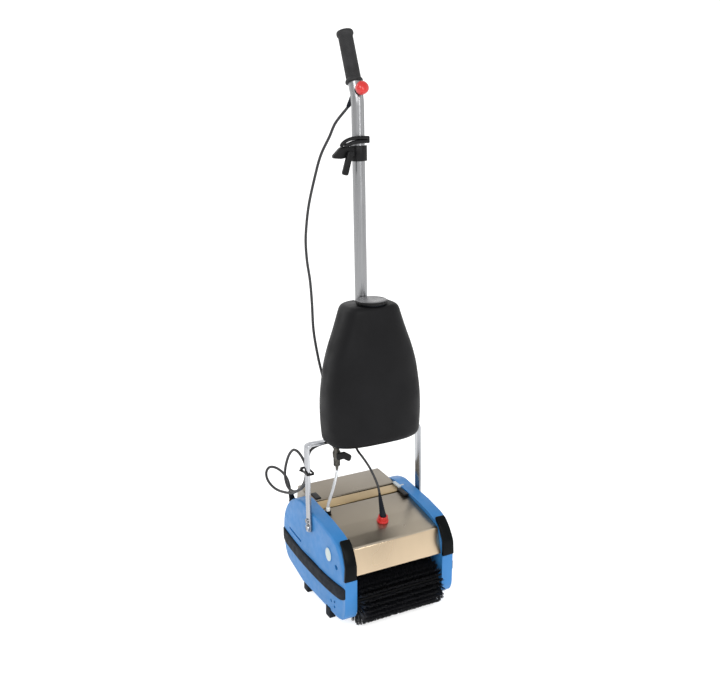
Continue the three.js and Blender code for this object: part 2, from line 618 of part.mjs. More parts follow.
function buildTap() {
  const top = TANK_BASE - GAP;
  const profile = [[0, top], [8.5, top], [8.5, top - 6], [6.5, top - 8], [6.5, top - 12],
    [8.5, top - 16], [8.5, top - 26], [7, top - 29], [7, top - 48], [3, top - 50], [3, top - 56],
    [0, top - 56]];
  const body = lathe(profile.reverse(), 10).translate(TAP_X, TAP_Y, 0);
  const stem = alongY(disc(TAP_X, top - 21, 4), TAP_Y - 11, TAP_Y, 6);
  add(handle, 'tap_body', join(body, stem), brass());
  const grip = outline([[TAP_X - 6, top - 16, 4], [TAP_X + 12, top - 17, 3], [TAP_X + 25, top - 27, 4],
    [TAP_X + 21, top - 35, 4], [TAP_X + 8, top - 25, 3], [TAP_X - 6, top - 26, 4]]);
  add(handle, 'tap_lever', alongY(grip, TAP_Y - 18, TAP_Y - 11 - GAP), blackPlastic());
}

// ---- leads and hose ----
// Switch lead: from the boot behind the push button, behind the tank, to the tie on the left leg.
const SWITCH_ROUTE = [
  [-1, 91.9, 1050.7], [-2.5, 96, 1046.5], [-18, 115, 1018], [-26, 126, 991], [-41, 138, 952],
  [-53, 148, 898], [-64, 153, 844], [-70, 154, 796], [-72, 153, 770], [-72, 148, 730],
  [-69, 140, 685], [-70, 130, 640], [-74, 115, 582], [-72, 97, 524], [-66, 81, 470],
  [-63, 66, 420], [-64, 52, 384], [-71, 41, 363], [-88, 34, 353], [-108, 31.5, 350],
  [-122, 32, 343], [-129, 33, 328], [-131, 33.5, 309],
];
// Slack: two loops between the tie and the gland at the rear of the body.
const SLACK_ROUTE = [
  [-131, 33.5, 300], [-131.5, 35, 280], [-134, 45, 257], [-138, 62, 240], [-143, 84, 228],
  [-147, 102, 230], [-149, 111, 243], [-151, 110, 265], [-150, 100, 296], [-147, 88, 319],
  [-143, 75, 331], [-139, 62, 330], [-134, 48, 318], [-131, 41.2, 304], [-130.8, 40.4, 290],
  [-129.5, 49, 268], [-129, 62, 250], [-132, 78, 232], [-138, 100, 216], [-148, 132, 207],
  [-155, 157, 205], [-161, 174, 211], [-165, 185, 223], [-164, 189, 237], [-158, 185, 248],
  [-149, 175, 250], [-138, 163, 243], [-129, 153, 228], [-125.6, 148.5, 212],
  [-124.5, 146.4, 200.3],
];
// Short lead: from under the bail's crossbar to the socket on the front cover.
const SHORT_ROUTE = [
  [-22, 21.5, 357.2], [-22, 21, 346], [-21, 12, 331], [-14, -2, 316], [-7, -18, 299],
  [-3, -34, 281], [-0.5, -44, 266], [0, -49.3, 255], [0, -51, 250.8],
];
const HOSE_ROUTE = [
  [-84, -16.8, 308.6], [-85, -15.4, 296], [-90, -5, 255], [-95.5, 2.8, 224], [-96.3, 4, 218],
  [-96.3, 4, 214.6],
];

function buildLeads() {
  add(machine, 'switch_lead', cord(SWITCH_ROUTE, SWITCH_LEAD_RADIUS, 52), blackRubber());
  add(machine, 'lead_loops', cord(SLACK_ROUTE, SWITCH_LEAD_RADIUS, 64), blackRubber());
  add(machine, 'pump_lead', cord(SHORT_ROUTE, 2.6, 14), blackRubber());
  add(machine, 'water_hose', cord(HOSE_ROUTE, HOSE_RADIUS, 12), clearHose());
  const rearBoot = lathe([[0, 0], [7, 0], [7, 6], [4.2, 34], [0, 34]], 10)
    .applyMatrix4(new THREE.Matrix4().makeRotationX(-2.25)).translate(-1, 64.5, 1073);
  const around = TUBE_RADIUS + 2.2;
  const tubeAlong = (lean) => new THREE.CylinderGeometry(around, around, 300, 20)
    .rotateX(Math.PI / 2 - lean)
    .translate(0, PIVOT_Y + BEND_Z * Math.sin(HANDLE_LEAN), PIVOT_Z + BEND_Z * Math.cos(HANDLE_LEAN));
  const upright = tubeAlong(HANDLE_LEAN);
  const leaning = tubeAlong(HANDLE_LEAN + GRIP_BEND);
  add(machine, 'switch_boot', cut(rearBoot, upright, leaning), blackRubber());
  const tieOuter = outline([[-143, 6.5, 2], [-125.8, 6.5, 2], [-125.8, 46.6, 3], [-143, 46.6, 3]]);
  tieOuter.holes.push(outline([[-141.2, 8.3, 1], [-127.6, 8.3, 1], [-127.6, 44.8, 2], [-141.2, 44.8, 2]]));
  add(machine, 'cable_tie', alongZ(tieOuter, 296, 301), blackPlastic());
  const turned = new THREE.Matrix4().makeRotationX(-0.331);
  const boot = lathe([[0, 0], [6.4, 0], [7, 3], [6.2, 12], [3.4, 50], [0, 50]], 10)
    .applyMatrix4(turned).translate(0, -67.5, 203);
  add(machine, 'lead_boot', boot, blackRubber());
}

buildSide(-1, 'left');
buildSide(1, 'right');
buildDrive();
buildCovers();
buildBail();
buildTube();
buildGrip();
buildClamp();
buildTank();
buildTap();
buildLeads();

export default machine;
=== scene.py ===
"""Upright twin-brush floor scrubber: surfaces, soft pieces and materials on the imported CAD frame.

Lengths in the tables below are millimetres; everything placed in the scene is in metres.
"""
import math
import random

import bmesh
import bpy
from mathutils import Matrix, Vector


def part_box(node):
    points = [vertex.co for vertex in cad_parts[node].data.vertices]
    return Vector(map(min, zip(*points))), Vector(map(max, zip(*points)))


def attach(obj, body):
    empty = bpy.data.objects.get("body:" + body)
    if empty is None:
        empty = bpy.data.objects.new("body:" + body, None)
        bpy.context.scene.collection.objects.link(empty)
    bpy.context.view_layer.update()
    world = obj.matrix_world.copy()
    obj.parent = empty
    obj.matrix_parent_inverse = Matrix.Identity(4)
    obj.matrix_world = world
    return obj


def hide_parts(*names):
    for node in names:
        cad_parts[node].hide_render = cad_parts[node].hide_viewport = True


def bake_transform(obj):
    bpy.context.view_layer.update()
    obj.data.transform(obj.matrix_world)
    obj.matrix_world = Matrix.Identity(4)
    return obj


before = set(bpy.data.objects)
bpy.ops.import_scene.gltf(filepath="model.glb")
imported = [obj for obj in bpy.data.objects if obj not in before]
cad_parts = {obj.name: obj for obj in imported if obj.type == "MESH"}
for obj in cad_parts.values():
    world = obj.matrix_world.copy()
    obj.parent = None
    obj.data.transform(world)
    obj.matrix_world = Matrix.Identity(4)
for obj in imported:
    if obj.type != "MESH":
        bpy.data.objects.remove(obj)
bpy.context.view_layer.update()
MM = 0.001
IDENTITY = Matrix.Identity(4)

# ---- the machine's own frames: the handle leans about its pivots and is bent below the grip ----
HANDLE_LEAN = math.radians(2.3)
GRIP_BEND = math.radians(21.5)
BEND_Z = 900.0
PIVOT = Matrix.Translation((0, 0.014, 0.170))
HANDLE = PIVOT @ Matrix.Rotation(-HANDLE_LEAN, 4, "X")
GRIP = HANDLE @ Matrix.Translation((0, 0, BEND_Z * MM)) @ Matrix.Rotation(-GRIP_BEND, 4, "X")


# ---- mesh building ----
def make(name, verts, faces, place=IDENTITY):
    """A mesh object from millimetre points, put in place in the row frame."""
    mesh = bpy.data.meshes.new(name)
    mesh.from_pydata([place @ (Vector(v) * MM) for v in verts], [], faces)
    fix = bmesh.new()
    fix.from_mesh(mesh)
    bmesh.ops.recalc_face_normals(fix, faces=fix.faces)
    fix.to_mesh(mesh)
    fix.free()
    obj = bpy.data.objects.new(name, mesh)
    bpy.context.scene.collection.objects.link(obj)
    return obj


def bake(obj):
    """Apply obj's modifiers to its mesh."""
    graph = bpy.context.evaluated_depsgraph_get()
    graph.update()
    mesh = bpy.data.meshes.new_from_object(obj.evaluated_get(graph))
    obj.modifiers.clear()
    obj.data = mesh


def shade(obj, angle=32):
    """Smooth shading, with edges sharper than angle degrees kept sharp."""
    mesh = obj.data
    mesh.polygons.foreach_set("use_smooth", [True] * len(mesh.polygons))
    mesh.set_sharp_from_angle(angle=math.radians(angle))


def bevel(obj, width, segments=3, angle=30):
    """Round the edges sharper than angle degrees by width millimetres."""
    mod = obj.modifiers.new("edge", "BEVEL")
    mod.width = width * MM
    mod.segments = segments
    mod.limit_method = "ANGLE"
    mod.angle_limit = math.radians(angle)
    mod.use_clamp_overlap = True
    bake(obj)


def cut(obj, *tools):
    """Subtract the tools from obj and throw them away."""
    for tool in tools:
        mod = obj.modifiers.new("cut", "BOOLEAN")
        mod.operation = "DIFFERENCE"
        mod.solver = "EXACT"
        mod.object = tool
        bake(obj)
        bpy.data.objects.remove(tool)


def finish(obj, material, body, slot, *nodes, angle=32):
    """Give a piece its material and body, and hide the CAD nodes it stands for."""
    shade(obj, angle)
    obj.data.materials.clear()
    obj.data.materials.append(material)
    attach(obj, body)
    if nodes:
        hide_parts(*nodes)


def drawn_to(start, corner, end, steps):
    """Points of the curve from start to end that leans towards corner."""
    line = []
    for k in range(steps + 1):
        t = k / steps
        line.append(tuple(start * (1 - t) ** 2 + corner * 2 * t * (1 - t) + end * t * t))
    return line


def turns(count):
    """The angles of count even steps round a circle."""
    return [2 * math.pi * k / count for k in range(count)]


def toothed(count, radius_of):
    """An outline round the origin whose radius at step k is radius_of(k)."""
    return [(radius_of(k) * math.cos(a), radius_of(k) * math.sin(a)) for k, a in enumerate(turns(count))]


def rounded(corners, steps=5):
    """A closed outline through corners (u, v, radius), each rounded to its radius."""
    points = []
    count = len(corners)
    for i, (u, v, *rest) in enumerate(corners):
        here = Vector((u, v))
        radius = rest[0] if rest else 0
        if radius <= 0:
            points.append(tuple(here))
            continue
        before = Vector(corners[i - 1][:2]) - here
        after = Vector(corners[(i + 1) % count][:2]) - here
        half = before.angle(after) / 2
        trim = min(radius / math.tan(half), before.length * 0.49, after.length * 0.49)
        start = here + before.normalized() * trim
        end = here + after.normalized() * trim
        points += drawn_to(start, here, end, steps)
    return points


def at_axis(axis, u, v, w):
    """A point with (u, v) in the plane across the axis and w along it."""
    return {"x": (w, u, v), "y": (u, w, v), "z": (u, v, w)}[axis]


def loft(name, loops, place=IDENTITY):
    """A closed skin over loops of 3-D points of equal count."""
    n = len(loops[0])
    verts = [p for loop in loops for p in loop]
    faces = [list(range(n))[::-1], list(range(len(verts) - n, len(verts)))]
    for i in range(len(loops) - 1):
        for k in range(n):
            a = i * n + k
            b = i * n + (k + 1) % n
            faces.append([a, b, b + n, a + n])
    return make(name, verts, faces, place)


def extrude(name, outline, axis, low, high, place=IDENTITY):
    """A closed prism: an outline across the axis, from low to high along it."""
    loops = [[at_axis(axis, u, v, w) for u, v in outline] for w in (low, high)]
    return loft(name, loops, place)


def lathe(name, profile, segments=32, place=IDENTITY):
    """A turned piece about +Z from (radius, height) points."""
    verts, rings = [], []
    for r, z in profile:
        if r < 1e-6:
            rings.append([len(verts)] * segments)
            verts.append((0, 0, z))
            continue
        rings.append([len(verts) + k for k in range(segments)])
        verts += [(r * math.cos(a), r * math.sin(a), z) for a in turns(segments)]
    faces = []
    for low, high in zip(rings, rings[1:]):
        for k in range(segments):
            j = (k + 1) % segments
            face = [low[k], low[j], high[j], high[k]]
            face = [v for i, v in enumerate(face) if v not in face[:i]]
            if len(face) > 2:
                faces.append(face)
    return make(name, verts, faces, place)


def spline(points, spacing=4.0):
    """Points every spacing mm or so along a centripetal Catmull-Rom curve through points."""
    pts = [Vector(p) for p in points]
    pts = [pts[0] * 2 - pts[1]] + pts + [pts[-1] * 2 - pts[-2]]
    line = [pts[1]]
    for i in range(len(pts) - 3):
        p0, p1, p2, p3 = pts[i:i + 4]
        t0 = 0.0
        t1 = t0 + (p1 - p0).length ** 0.5
        t2 = t1 + (p2 - p1).length ** 0.5
        t3 = t2 + (p3 - p2).length ** 0.5
        steps = max(2, round((p2 - p1).length / spacing))
        for k in range(1, steps + 1):
            t = t1 + (t2 - t1) * k / steps
            a1 = p0 * ((t1 - t) / (t1 - t0)) + p1 * ((t - t0) / (t1 - t0))
            a2 = p1 * ((t2 - t) / (t2 - t1)) + p2 * ((t - t1) / (t2 - t1))
            a3 = p2 * ((t3 - t) / (t3 - t2)) + p3 * ((t - t2) / (t3 - t2))
            b1 = a1 * ((t2 - t) / (t2 - t0)) + a2 * ((t - t0) / (t2 - t0))
            b2 = a2 * ((t3 - t) / (t3 - t1)) + a3 * ((t - t1) / (t3 - t1))
            line.append(b1 * ((t2 - t) / (t2 - t1)) + b2 * ((t - t1) / (t2 - t1)))
    return line


def rings_along(line, radius, sides):
    """Circles across a line of points, carried along it without twist."""
    count = len(line)
    heading = [(line[min(i + 1, count - 1)] - line[max(i - 1, 0)]).normalized() for i in range(count)]
    side = heading[0].orthogonal().normalized()
    loops = []
    for point, direction in zip(line, heading):
        side = (side - direction * side.dot(direction)).normalized()
        up = direction.cross(side)
        loops.append([tuple(point + (side * math.cos(a) + up * math.sin(a)) * radius)
                      for a in turns(sides)])
    return loops


def tube(name, line, radius, sides, place=IDENTITY):
    """A solid round rod along a line of points."""
    return loft(name, rings_along([Vector(p) for p in line], radius, sides), place)


def oval(centre, half_u, half_v, segments):
    """An ellipse as an outline."""
    return [(centre[0] + half_u * math.cos(a), centre[1] + half_v * math.sin(a)) for a in turns(segments)]


def drum(name, axis, centre, radius, low, high, segments=24, place=IDENTITY):
    """A plain round cutter along an axis."""
    return extrude(name, oval(centre, radius, radius, segments), axis, low, high, place)


# ---- camera ----
CAMERA_AT = (-0.894, -1.681, 1.163)
CAMERA_TURN = (math.radians(73.14), 0.0, math.radians(-27.46))
camera_data = bpy.data.cameras.new("photo_camera")
camera_data.lens = 47.5
camera_data.sensor_width = 36.0
camera = bpy.data.objects.new("photo_camera", camera_data)
camera.location = CAMERA_AT
camera.rotation_euler = CAMERA_TURN
bpy.context.scene.collection.objects.link(camera)
bpy.context.scene.camera = camera


# ---- materials ----
class Look:
    """A procedural material: a Principled shader with helpers for its textures."""

    def __init__(self, name, color, roughness, metallic=0.0, **sockets):
        self.material = bpy.data.materials.new(name)
        self.material.use_nodes = True
        self.nodes = self.material.node_tree.nodes
        self.links = self.material.node_tree.links
        self.shader = self.nodes["Principled BSDF"]
        self.color = color
        self.set("Base Color", (*color, 1))
        self.set("Roughness", roughness)
        self.set("Metallic", metallic)
        for socket, value in sockets.items():
            self.set(socket.replace("_", " "), value)
        self.place = self.nodes.new("ShaderNodeTexCoord").outputs["Object"]
        self.height = None

    def set(self, socket, value):
        """Set one of the shader's own sockets."""
        self.shader.inputs[socket].default_value = value

    def scaled(self, scale):
        """The object's coordinates, stretched by scale."""
        mapping = self.nodes.new("ShaderNodeMapping")
        mapping.inputs["Scale"].default_value = scale
        self.links.new(self.place, mapping.inputs["Vector"])
        return mapping.outputs["Vector"]

    def noise(self, scale, detail=4.0, stretch=(1, 1, 1)):
        """A noise factor of 0 to 1 over the surface."""
        tex = self.nodes.new("ShaderNodeTexNoise")
        tex.inputs["Scale"].default_value = scale
        tex.inputs["Detail"].default_value = detail
        self.links.new(self.scaled(stretch), tex.inputs["Vector"])
        return tex.outputs["Fac"]

    def ramp(self, factor, stops):
        """A colour ramp over (position, colour) stops."""
        node = self.nodes.new("ShaderNodeValToRGB")
        ramp = node.color_ramp
        while len(ramp.elements) < len(stops):
            ramp.elements.new(0.5)
        for element, (position, color) in zip(ramp.elements, stops):
            element.position = position
            element.color = (*color, 1)
        self.links.new(factor, node.inputs["Fac"])
        return node.outputs["Color"]

    def tint(self, factor, stops):
        """Drive the base colour by a factor through a ramp."""
        self.links.new(self.ramp(factor, stops), self.shader.inputs["Base Color"])
        return self

    def mottle(self, scale, spread, detail=5.0, stretch=(1, 1, 1)):
        """Vary the base colour by a share of itself, up and down."""
        low = tuple(c * (1 - spread) for c in self.color)
        high = tuple(min(1.0, c * (1 + spread)) for c in self.color)
        return self.tint(self.noise(scale, detail, stretch), [(0.3, low), (0.7, high)])

    def remap(self, value, source, target):
        """Carry a value from the source range to the target range."""
        node = self.nodes.new("ShaderNodeMapRange")
        for end, at in zip(("Min", "Max"), (0, 1)):
            node.inputs[f"From {end}"].default_value = source[at]
            node.inputs[f"To {end}"].default_value = target[at]
        self.links.new(value, node.inputs["Value"])
        return node.outputs["Result"]

    def fade(self, painted_shade_color, front, rear, scale):
        """Paint shade: let the base colour darken to a given colour between two places along Y (metres), a
        little unevenly.
        """
        uneven = 0.3
        split = self.nodes.new("ShaderNodeSeparateXYZ")
        self.links.new(self.place, split.inputs["Vector"])
        share = self.remap(split.outputs["Y"], (front, rear), (-uneven / 2, 1 - uneven / 2))
        add = self.nodes.new("ShaderNodeMath")
        add.operation = "MULTIPLY_ADD"
        add.inputs[1].default_value = uneven
        self.links.new(self.noise(scale, 3), add.inputs[0])
        self.links.new(share, add.inputs[2])
        return self.tint(add.outputs["Value"], [(0.0, self.color), (1.0, painted_shade_color)])

    def gloss(self, scale, low, high, stretch=(1, 1, 1)):
        """Vary the roughness between two values."""
        rough = self.remap(self.noise(scale, 3.0, stretch), (0.35, 0.65), (low, high))
        self.links.new(rough, self.shader.inputs["Roughness"])
        return self

    def bump(self, scale, depth, detail=3.0, stretch=(1, 1, 1)):
        """A bump of depth millimetres, on top of any before it."""
        node = self.nodes.new("ShaderNodeBump")
        node.inputs["Strength"].default_value = 1.0
        node.inputs["Distance"].default_value = depth * MM
        self.links.new(self.noise(scale, detail, stretch), node.inputs["Height"])
        if self.height is not None:
            self.links.new(self.height, node.inputs["Normal"])
        self.height = node.outputs["Normal"]
        self.links.new(self.height, self.shader.inputs["Normal"])
        return self


BLUE = Look("blue_plastic", (0.028, 0.176, 0.440), 0.46, Specular_IOR_Level=0.35)
BLUE.mottle(9, 0.10).bump(900, 0.03).gloss(60, 0.36, 0.5)
BLACK = Look("black_plastic", (0.005, 0.005, 0.0055), 0.42, Specular_IOR_Level=0.18)
BLACK.mottle(30, 0.25).bump(1200, 0.03).gloss(80, 0.34, 0.5)
TANK = Look("tank_plastic", (0.0045, 0.0045, 0.0052), 0.45, Specular_IOR_Level=0.14)
TANK.mottle(14, 0.25).bump(650, 0.06).gloss(25, 0.44, 0.58)
RUBBER = Look("black_rubber", (0.0062, 0.0088, 0.0135), 0.62, Specular_IOR_Level=0.12)
RUBBER.mottle(40, 0.3).bump(1500, 0.04).gloss(90, 0.55, 0.72)
GRIP_RUBBER = Look("grip_rubber", (0.017, 0.017, 0.018), 0.6, Specular_IOR_Level=0.28)
GRIP_RUBBER.mottle(60, 0.3).bump(1800, 0.05)
LEAD = Look("lead_sheath", (0.014, 0.014, 0.016), 0.4)
LEAD.mottle(50, 0.25).bump(700, 0.02).gloss(120, 0.34, 0.48)
GLOSS_BLACK = Look("gloss_black", (0.002, 0.003, 0.0035), 0.30, Specular_IOR_Level=0.08)
GLOSS_BLACK.mottle(30, 0.3).bump(300, 0.02)
RED = Look("red_plastic", (0.50, 0.012, 0.010), 0.28, Coat_Weight=0.25, Coat_Roughness=0.12)
RED.mottle(120, 0.08).bump(700, 0.02)
STEEL = Look("polished_steel_painted_reflection", (0.66, 0.66, 0.67), 0.16, 1.0)
# Painted reflection: dark and bright streaks running lengthwise stand in for what the chrome reflects.
STEEL.tint(STEEL.noise(60, 6, (1, 1, 0.05)), [(0.35, (0.20, 0.21, 0.23)), (0.65, (0.50, 0.51, 0.53))])
STEEL.gloss(40, 0.10, 0.24, (1, 1, 0.1))
DULL_STEEL = Look("dull_steel", (0.42, 0.42, 0.43), 0.38, 1.0)
DULL_STEEL.mottle(80, 0.2).gloss(120, 0.3, 0.48)
ALUMINIUM = Look("satin_aluminium", (0.30, 0.303, 0.31), 0.32, 1.0)
ALUMINIUM.mottle(220, 0.07, 4, (1, 1, 0.02)).gloss(260, 0.26, 0.38, (1, 1, 0.02))
ALUMINIUM.bump(900, 0.006, 2, (1, 1, 0.02))
# Painted reflection and shade: the cover steel is tinted tan for the warm surroundings it reflects, and
# painted darker towards the rear for the dimmer reflections there.
COVER = Look("cover_steel_painted_reflection_and_shade", (0.46, 0.40, 0.315), 0.4, 1.0)
COVER.fade((0.235, 0.205, 0.165), -0.14, 0.02, 6)
COVER.gloss(9, 0.27, 0.37).bump(420, 0.004, 3, (0.04, 1, 1))
# Painted highlight: the front panel is the same steel as the covers, coloured lighter and creamier for the
# bright reflection on its face.
PANEL = Look("panel_steel_painted_highlight", (0.58, 0.46, 0.32), 0.30, 1.0)
PANEL.mottle(7, 0.10, 3, (1, 1, 0.6)).gloss(7, 0.26, 0.36).bump(420, 0.004, 3, (0.04, 1, 1))
# Painted reflection: the bridge is the same steel as the covers, coloured tan-brown for the brown
# surroundings it reflects.
BAND = Look("band_steel_painted_reflection", (0.37, 0.275, 0.155), 0.34, 1.0)
BAND.mottle(10, 0.18, 4, (1, 0.4, 1)).bump(420, 0.004, 3, (0.04, 1, 1))
BRASS = Look("tap_brass", (0.10, 0.095, 0.085), 0.42, 1.0)
BRASS.mottle(180, 0.35).gloss(200, 0.3, 0.5).bump(900, 0.02)
ZINC = Look("tap_zinc", (0.40, 0.40, 0.39), 0.4, 1.0)
ZINC.mottle(200, 0.3).gloss(200, 0.3, 0.5)
PAD = Look("pale_pad", (0.42, 0.47, 0.50), 0.45)
PAD.mottle(30, 0.12)
WHITE = Look("white_plastic", (0.70, 0.69, 0.64), 0.4)
WHITE.mottle(40, 0.05).bump(800, 0.02)
HOSE = Look("clear_hose", (0.78, 0.80, 0.82), 0.16, Transmission_Weight=0.55, IOR=1.42)
HOSE.mottle(90, 0.04, 3, (1, 1, 0.2)).bump(200, 0.02, 2, (1, 1, 0.3))
BRISTLE = Look("bristle", (0.006, 0.0065, 0.009), 0.5)
BRISTLE.mottle(400, 0.5).gloss(500, 0.35, 0.6)
CAP_GREY = Look("cap_top", (0.10, 0.10, 0.105), 0.3)
CAP_GREY.mottle(60, 0.15).bump(900, 0.02).gloss(60, 0.24, 0.4)
LENS = Look("blank_label", (0.42, 0.49, 0.48), 0.3, Coat_Weight=0.3, Coat_Roughness=0.1)
LENS.mottle(60, 0.10).bump(300, 0.01)


def paint(node, look):
    """Give a CAD node that shows as it is a finished material."""
    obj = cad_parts[node]
    for material_slot in obj.material_slots:
        material_slot.material = look.material


# ---- cords: each route repeats the CAD's, and the cord follows a smooth curve through it ----
SWITCH_ROUTE = [
    (-1, 91.9, 1050.7), (-2.5, 96, 1046.5), (-18, 115, 1018), (-26, 126, 991), (-41, 138, 952),
    (-53, 148, 898), (-64, 153, 844), (-70, 154, 796), (-72, 153, 770), (-72, 148, 730),
    (-69, 140, 685), (-70, 130, 640), (-74, 115, 582), (-72, 97, 524), (-66, 81, 470),
    (-63, 66, 420), (-64, 52, 384), (-71, 41, 363), (-88, 34, 353), (-108, 31.5, 350),
    (-122, 32, 343), (-129, 33, 328), (-131, 33.5, 309)]
SLACK_ROUTE = [
    (-131, 33.5, 300), (-131.5, 35, 280), (-134, 45, 257), (-138, 62, 240), (-143, 84, 228),
    (-147, 102, 230), (-149, 111, 243), (-151, 110, 265), (-150, 100, 296), (-147, 88, 319),
    (-143, 75, 331), (-139, 62, 330), (-134, 48, 318), (-131, 41.2, 304), (-130.8, 40.4, 290),
    (-129.5, 49, 268), (-129, 62, 250), (-132, 78, 232), (-138, 100, 216), (-148, 132, 207),
    (-155, 157, 205), (-161, 174, 211), (-165, 185, 223), (-164, 189, 237), (-158, 185, 248),
    (-149, 175, 250), (-138, 163, 243), (-129, 153, 228), (-125.6, 148.5, 212),
    (-124.5, 146.4, 200.3)]
SHORT_ROUTE = [
    (-22, 21.5, 357.2), (-22, 21, 346), (-21, 12, 331), (-14, -2, 316), (-7, -18, 299),
    (-3, -34, 281), (-0.5, -44, 266), (0, -49.3, 255), (0, -51, 250.8)]
HOSE_ROUTE = [
    (-84, -16.8, 308.6), (-85, -15.4, 296), (-90, -5, 255), (-95.5, 2.8, 224), (-96.3, 4, 218),
    (-96.3, 4, 214.6)]


def free_cord(name, route, diameter, look, nodes):
    """A cord as a round tube along a smooth curve through its route, hiding the CAD nodes it stands for."""
    line = spline(route)
    obj = tube(name, line, diameter / 2 / MM, 14)
    shade(obj, 50)
    obj.data.materials.append(look.material)
    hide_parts(*nodes)
    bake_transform(obj)


free_cord("switch_cord", SWITCH_ROUTE + SLACK_ROUTE, 0.006, LEAD,
          ["switch_lead", "lead_loops"])
free_cord("pump_cord", SHORT_ROUTE, 0.0052, LEAD, ["pump_lead"])
free_cord("water_tube", HOSE_ROUTE, 0.0064, HOSE, ["water_hose"])


# ---- body: side plates ----
FRAME_INNER = 103.3
SIDE_OUTER = 134.0
FRONT_Y = -147.0
PLATE_BOTTOM = 17.0
GUARD_BOTTOM = 118.0
REAR_ARC = (55.0, 95.0, 115.0)  # centre y, centre z and radius of the plate's round back
SWELL = 4.6
SIDES = (("left", -1), ("right", 1))


def curve_to(points, corner, end, steps=6):
    """Lead an outline from its last point to end in a curve that leans towards corner."""
    points += drawn_to(Vector(points[-1]), Vector(corner), Vector(end), steps)[1:]


def plate_outline(inset):
    """The side view (y, z) of a side plate, drawn in by inset, with a notch for the corner guard."""
    cy, cz, radius = REAR_ARC
    radius -= inset
    front, low = FRONT_Y + inset, PLATE_BOTTOM + inset
    points = [(front + 38, low), (50, low), (124, 28 + inset)]
    first, last, steps = -0.42, 1.5, 24
    curve_to(points, (148, 30 + inset), (cy + radius * math.cos(first), cz + radius * math.sin(first)), 5)
    for k in range(1, steps + 1):
        a = first + (last - first) * k / steps
        points.append((cy + radius * math.cos(a), cz + radius * math.sin(a)))
    points += [(-40, 203 - inset), (-88, 196 - inset), (-110 + inset / 2, 189 - inset)]
    curve_to(points, (-126 + inset, 181 - inset), (front + 6 + inset, 150 - inset))
    points += [(front + 6 + inset, GUARD_BOTTOM), (front, GUARD_BOTTOM), (front, low + 34)]
    curve_to(points, (front + 2, low + 2), (front + 38, low))
    return points[:-1]


def bulge(y, z):
    """How far the moulded plate swells outwards, in millimetres: most at its middle, low down."""
    along = SWELL * (1 - ((y - 30) / 125) ** 2)
    fade = min(1.0, max(0.0, (152 - z) / 44))
    return along * fade * fade * (3 - 2 * fade)


def side_plate(word, side):
    """A moulded shell: flat inside, its outer edge rolled over, its face slightly swollen."""
    roll, steps = 5.5, 6
    loops = [[(side * FRAME_INNER, y, z) for y, z in plate_outline(0)]]
    for k in range(steps + 1):
        a = math.pi / 2 * k / steps
        out = SIDE_OUTER - roll + roll * math.sin(a)
        edge = plate_outline(roll * 0.85 * (1 - math.cos(a)))
        loops.append([(side * (out + bulge(y, z) * k / steps), y, z) for y, z in edge])
    middle = Vector((5, 100))
    for share in (0.93, 0.82, 0.68, 0.5, 0.3):
        face = [middle + (Vector(point) - middle) * share for point in edge]
        loops.append([(side * (SIDE_OUTER + bulge(y, z)), y, z) for y, z in face])
    plate = loft(f"{word}_shell", loops)
    groove = rounded([(58, 112.5), (128, 114.5), (128, 119.5), (58, 117.5)])
    tools = [extrude("groove", groove, "x", side * (SIDE_OUTER - 0.8), side * 150)]
    tools.append(drum("hole", "x", (-111, 137), 6, side * (SIDE_OUTER - 8), side * 150))
    for y, z in ((-87, 46), (-101, 50), (-101, 38)):
        tools.append(drum("hole", "x", (y, z), 3.1, side * (SIDE_OUTER - 6), side * 150, 16))
    cut(plate, *tools)
    finish(plate, BLUE.material, "chassis", "blue_plastic", f"{word}_side_plate", angle=30)


def blank_badge(word, side):
    """The oval lens low on each plate's front shoulder, left blank."""
    for name, share, height, look in (("badge_rim", 1.0, 0.9, BLUE), ("badge", 0.86, 1.7, LENS)):
        outline = oval((-76, 150), 15 * share, 17 * share, 40)
        under, over = side * (SIDE_OUTER - 1), side * (SIDE_OUTER + height)
        disc = extrude(f"{word}_{name}", outline, "x", under, over)
        bevel(disc, 0.7)
        finish(disc, look.material, "chassis", "white_plastic" if look is LENS else "blue_plastic")


def bumper(word, side):
    """A rubber strip along the plate that follows its swell and rounds in at both ends."""
    low, high, steps = 67, 98, 40
    section = rounded([(-1, low), (3.2, low, 2), (4.5, low + 4, 2), (4.5, high - 4, 2), (3.2, high, 2),
                       (-1, high)], 3)
    loops = []
    for k in range(steps + 1):
        y = FRONT_Y + 1 + (167 - FRONT_Y) * k / steps
        end = min(k, steps - k)
        pinch = (3.0, 1.0, 0.2)[end] if end < 3 else 0.0
        squeeze = (0.24, 0.09, 0.02)[end] if end < 3 else 0.0
        rise = 5.0 * max(0.0, (-60 - y) / 87) ** 2 + 2.0 * max(0.0, (y - 60) / 108)
        swell = SIDE_OUTER + bulge(y, 82)
        loops.append([(side * (swell + max(-1, u - pinch)), y, v + rise + (high - v) * squeeze)
                      for u, v in section])
    strip = loft(f"{word}_strip", loops)
    finish(strip, RUBBER.material, "chassis", "black_rubber", f"{word}_bumper_strip", angle=40)


def corner_guard(word, side):
    """The glossy guard over the plate's front top corner, drawn in towards its top."""
    outer, inner = [(FRONT_Y - 1.9, GUARD_BOTTOM + 0.5), (FRONT_Y - 2, 150)], [(-111, 190.4)]
    curve_to(outer, (-136, 188), (-113, 198), 9)
    curve_to(inner, (-127.5, 182), (FRONT_Y + 5.7, 150), 9)
    outline = outer + inner + [(FRONT_Y + 5.7, GUARD_BOTTOM + 0.5)]
    inside = [(side * (FRAME_INNER + 0.4), y, z) for y, z in outline]
    outside = [(side * (SIDE_OUTER - 2 - 6.0 * max(0.0, (z - 130) / 68)), y, z) for y, z in outline]
    guard = loft(f"{word}_guard", [inside, outside])
    bevel(guard, 2.6, 5)
    finish(guard, GLOSS_BLACK.material, "chassis", "black_rubber", f"{word}_corner_guard")


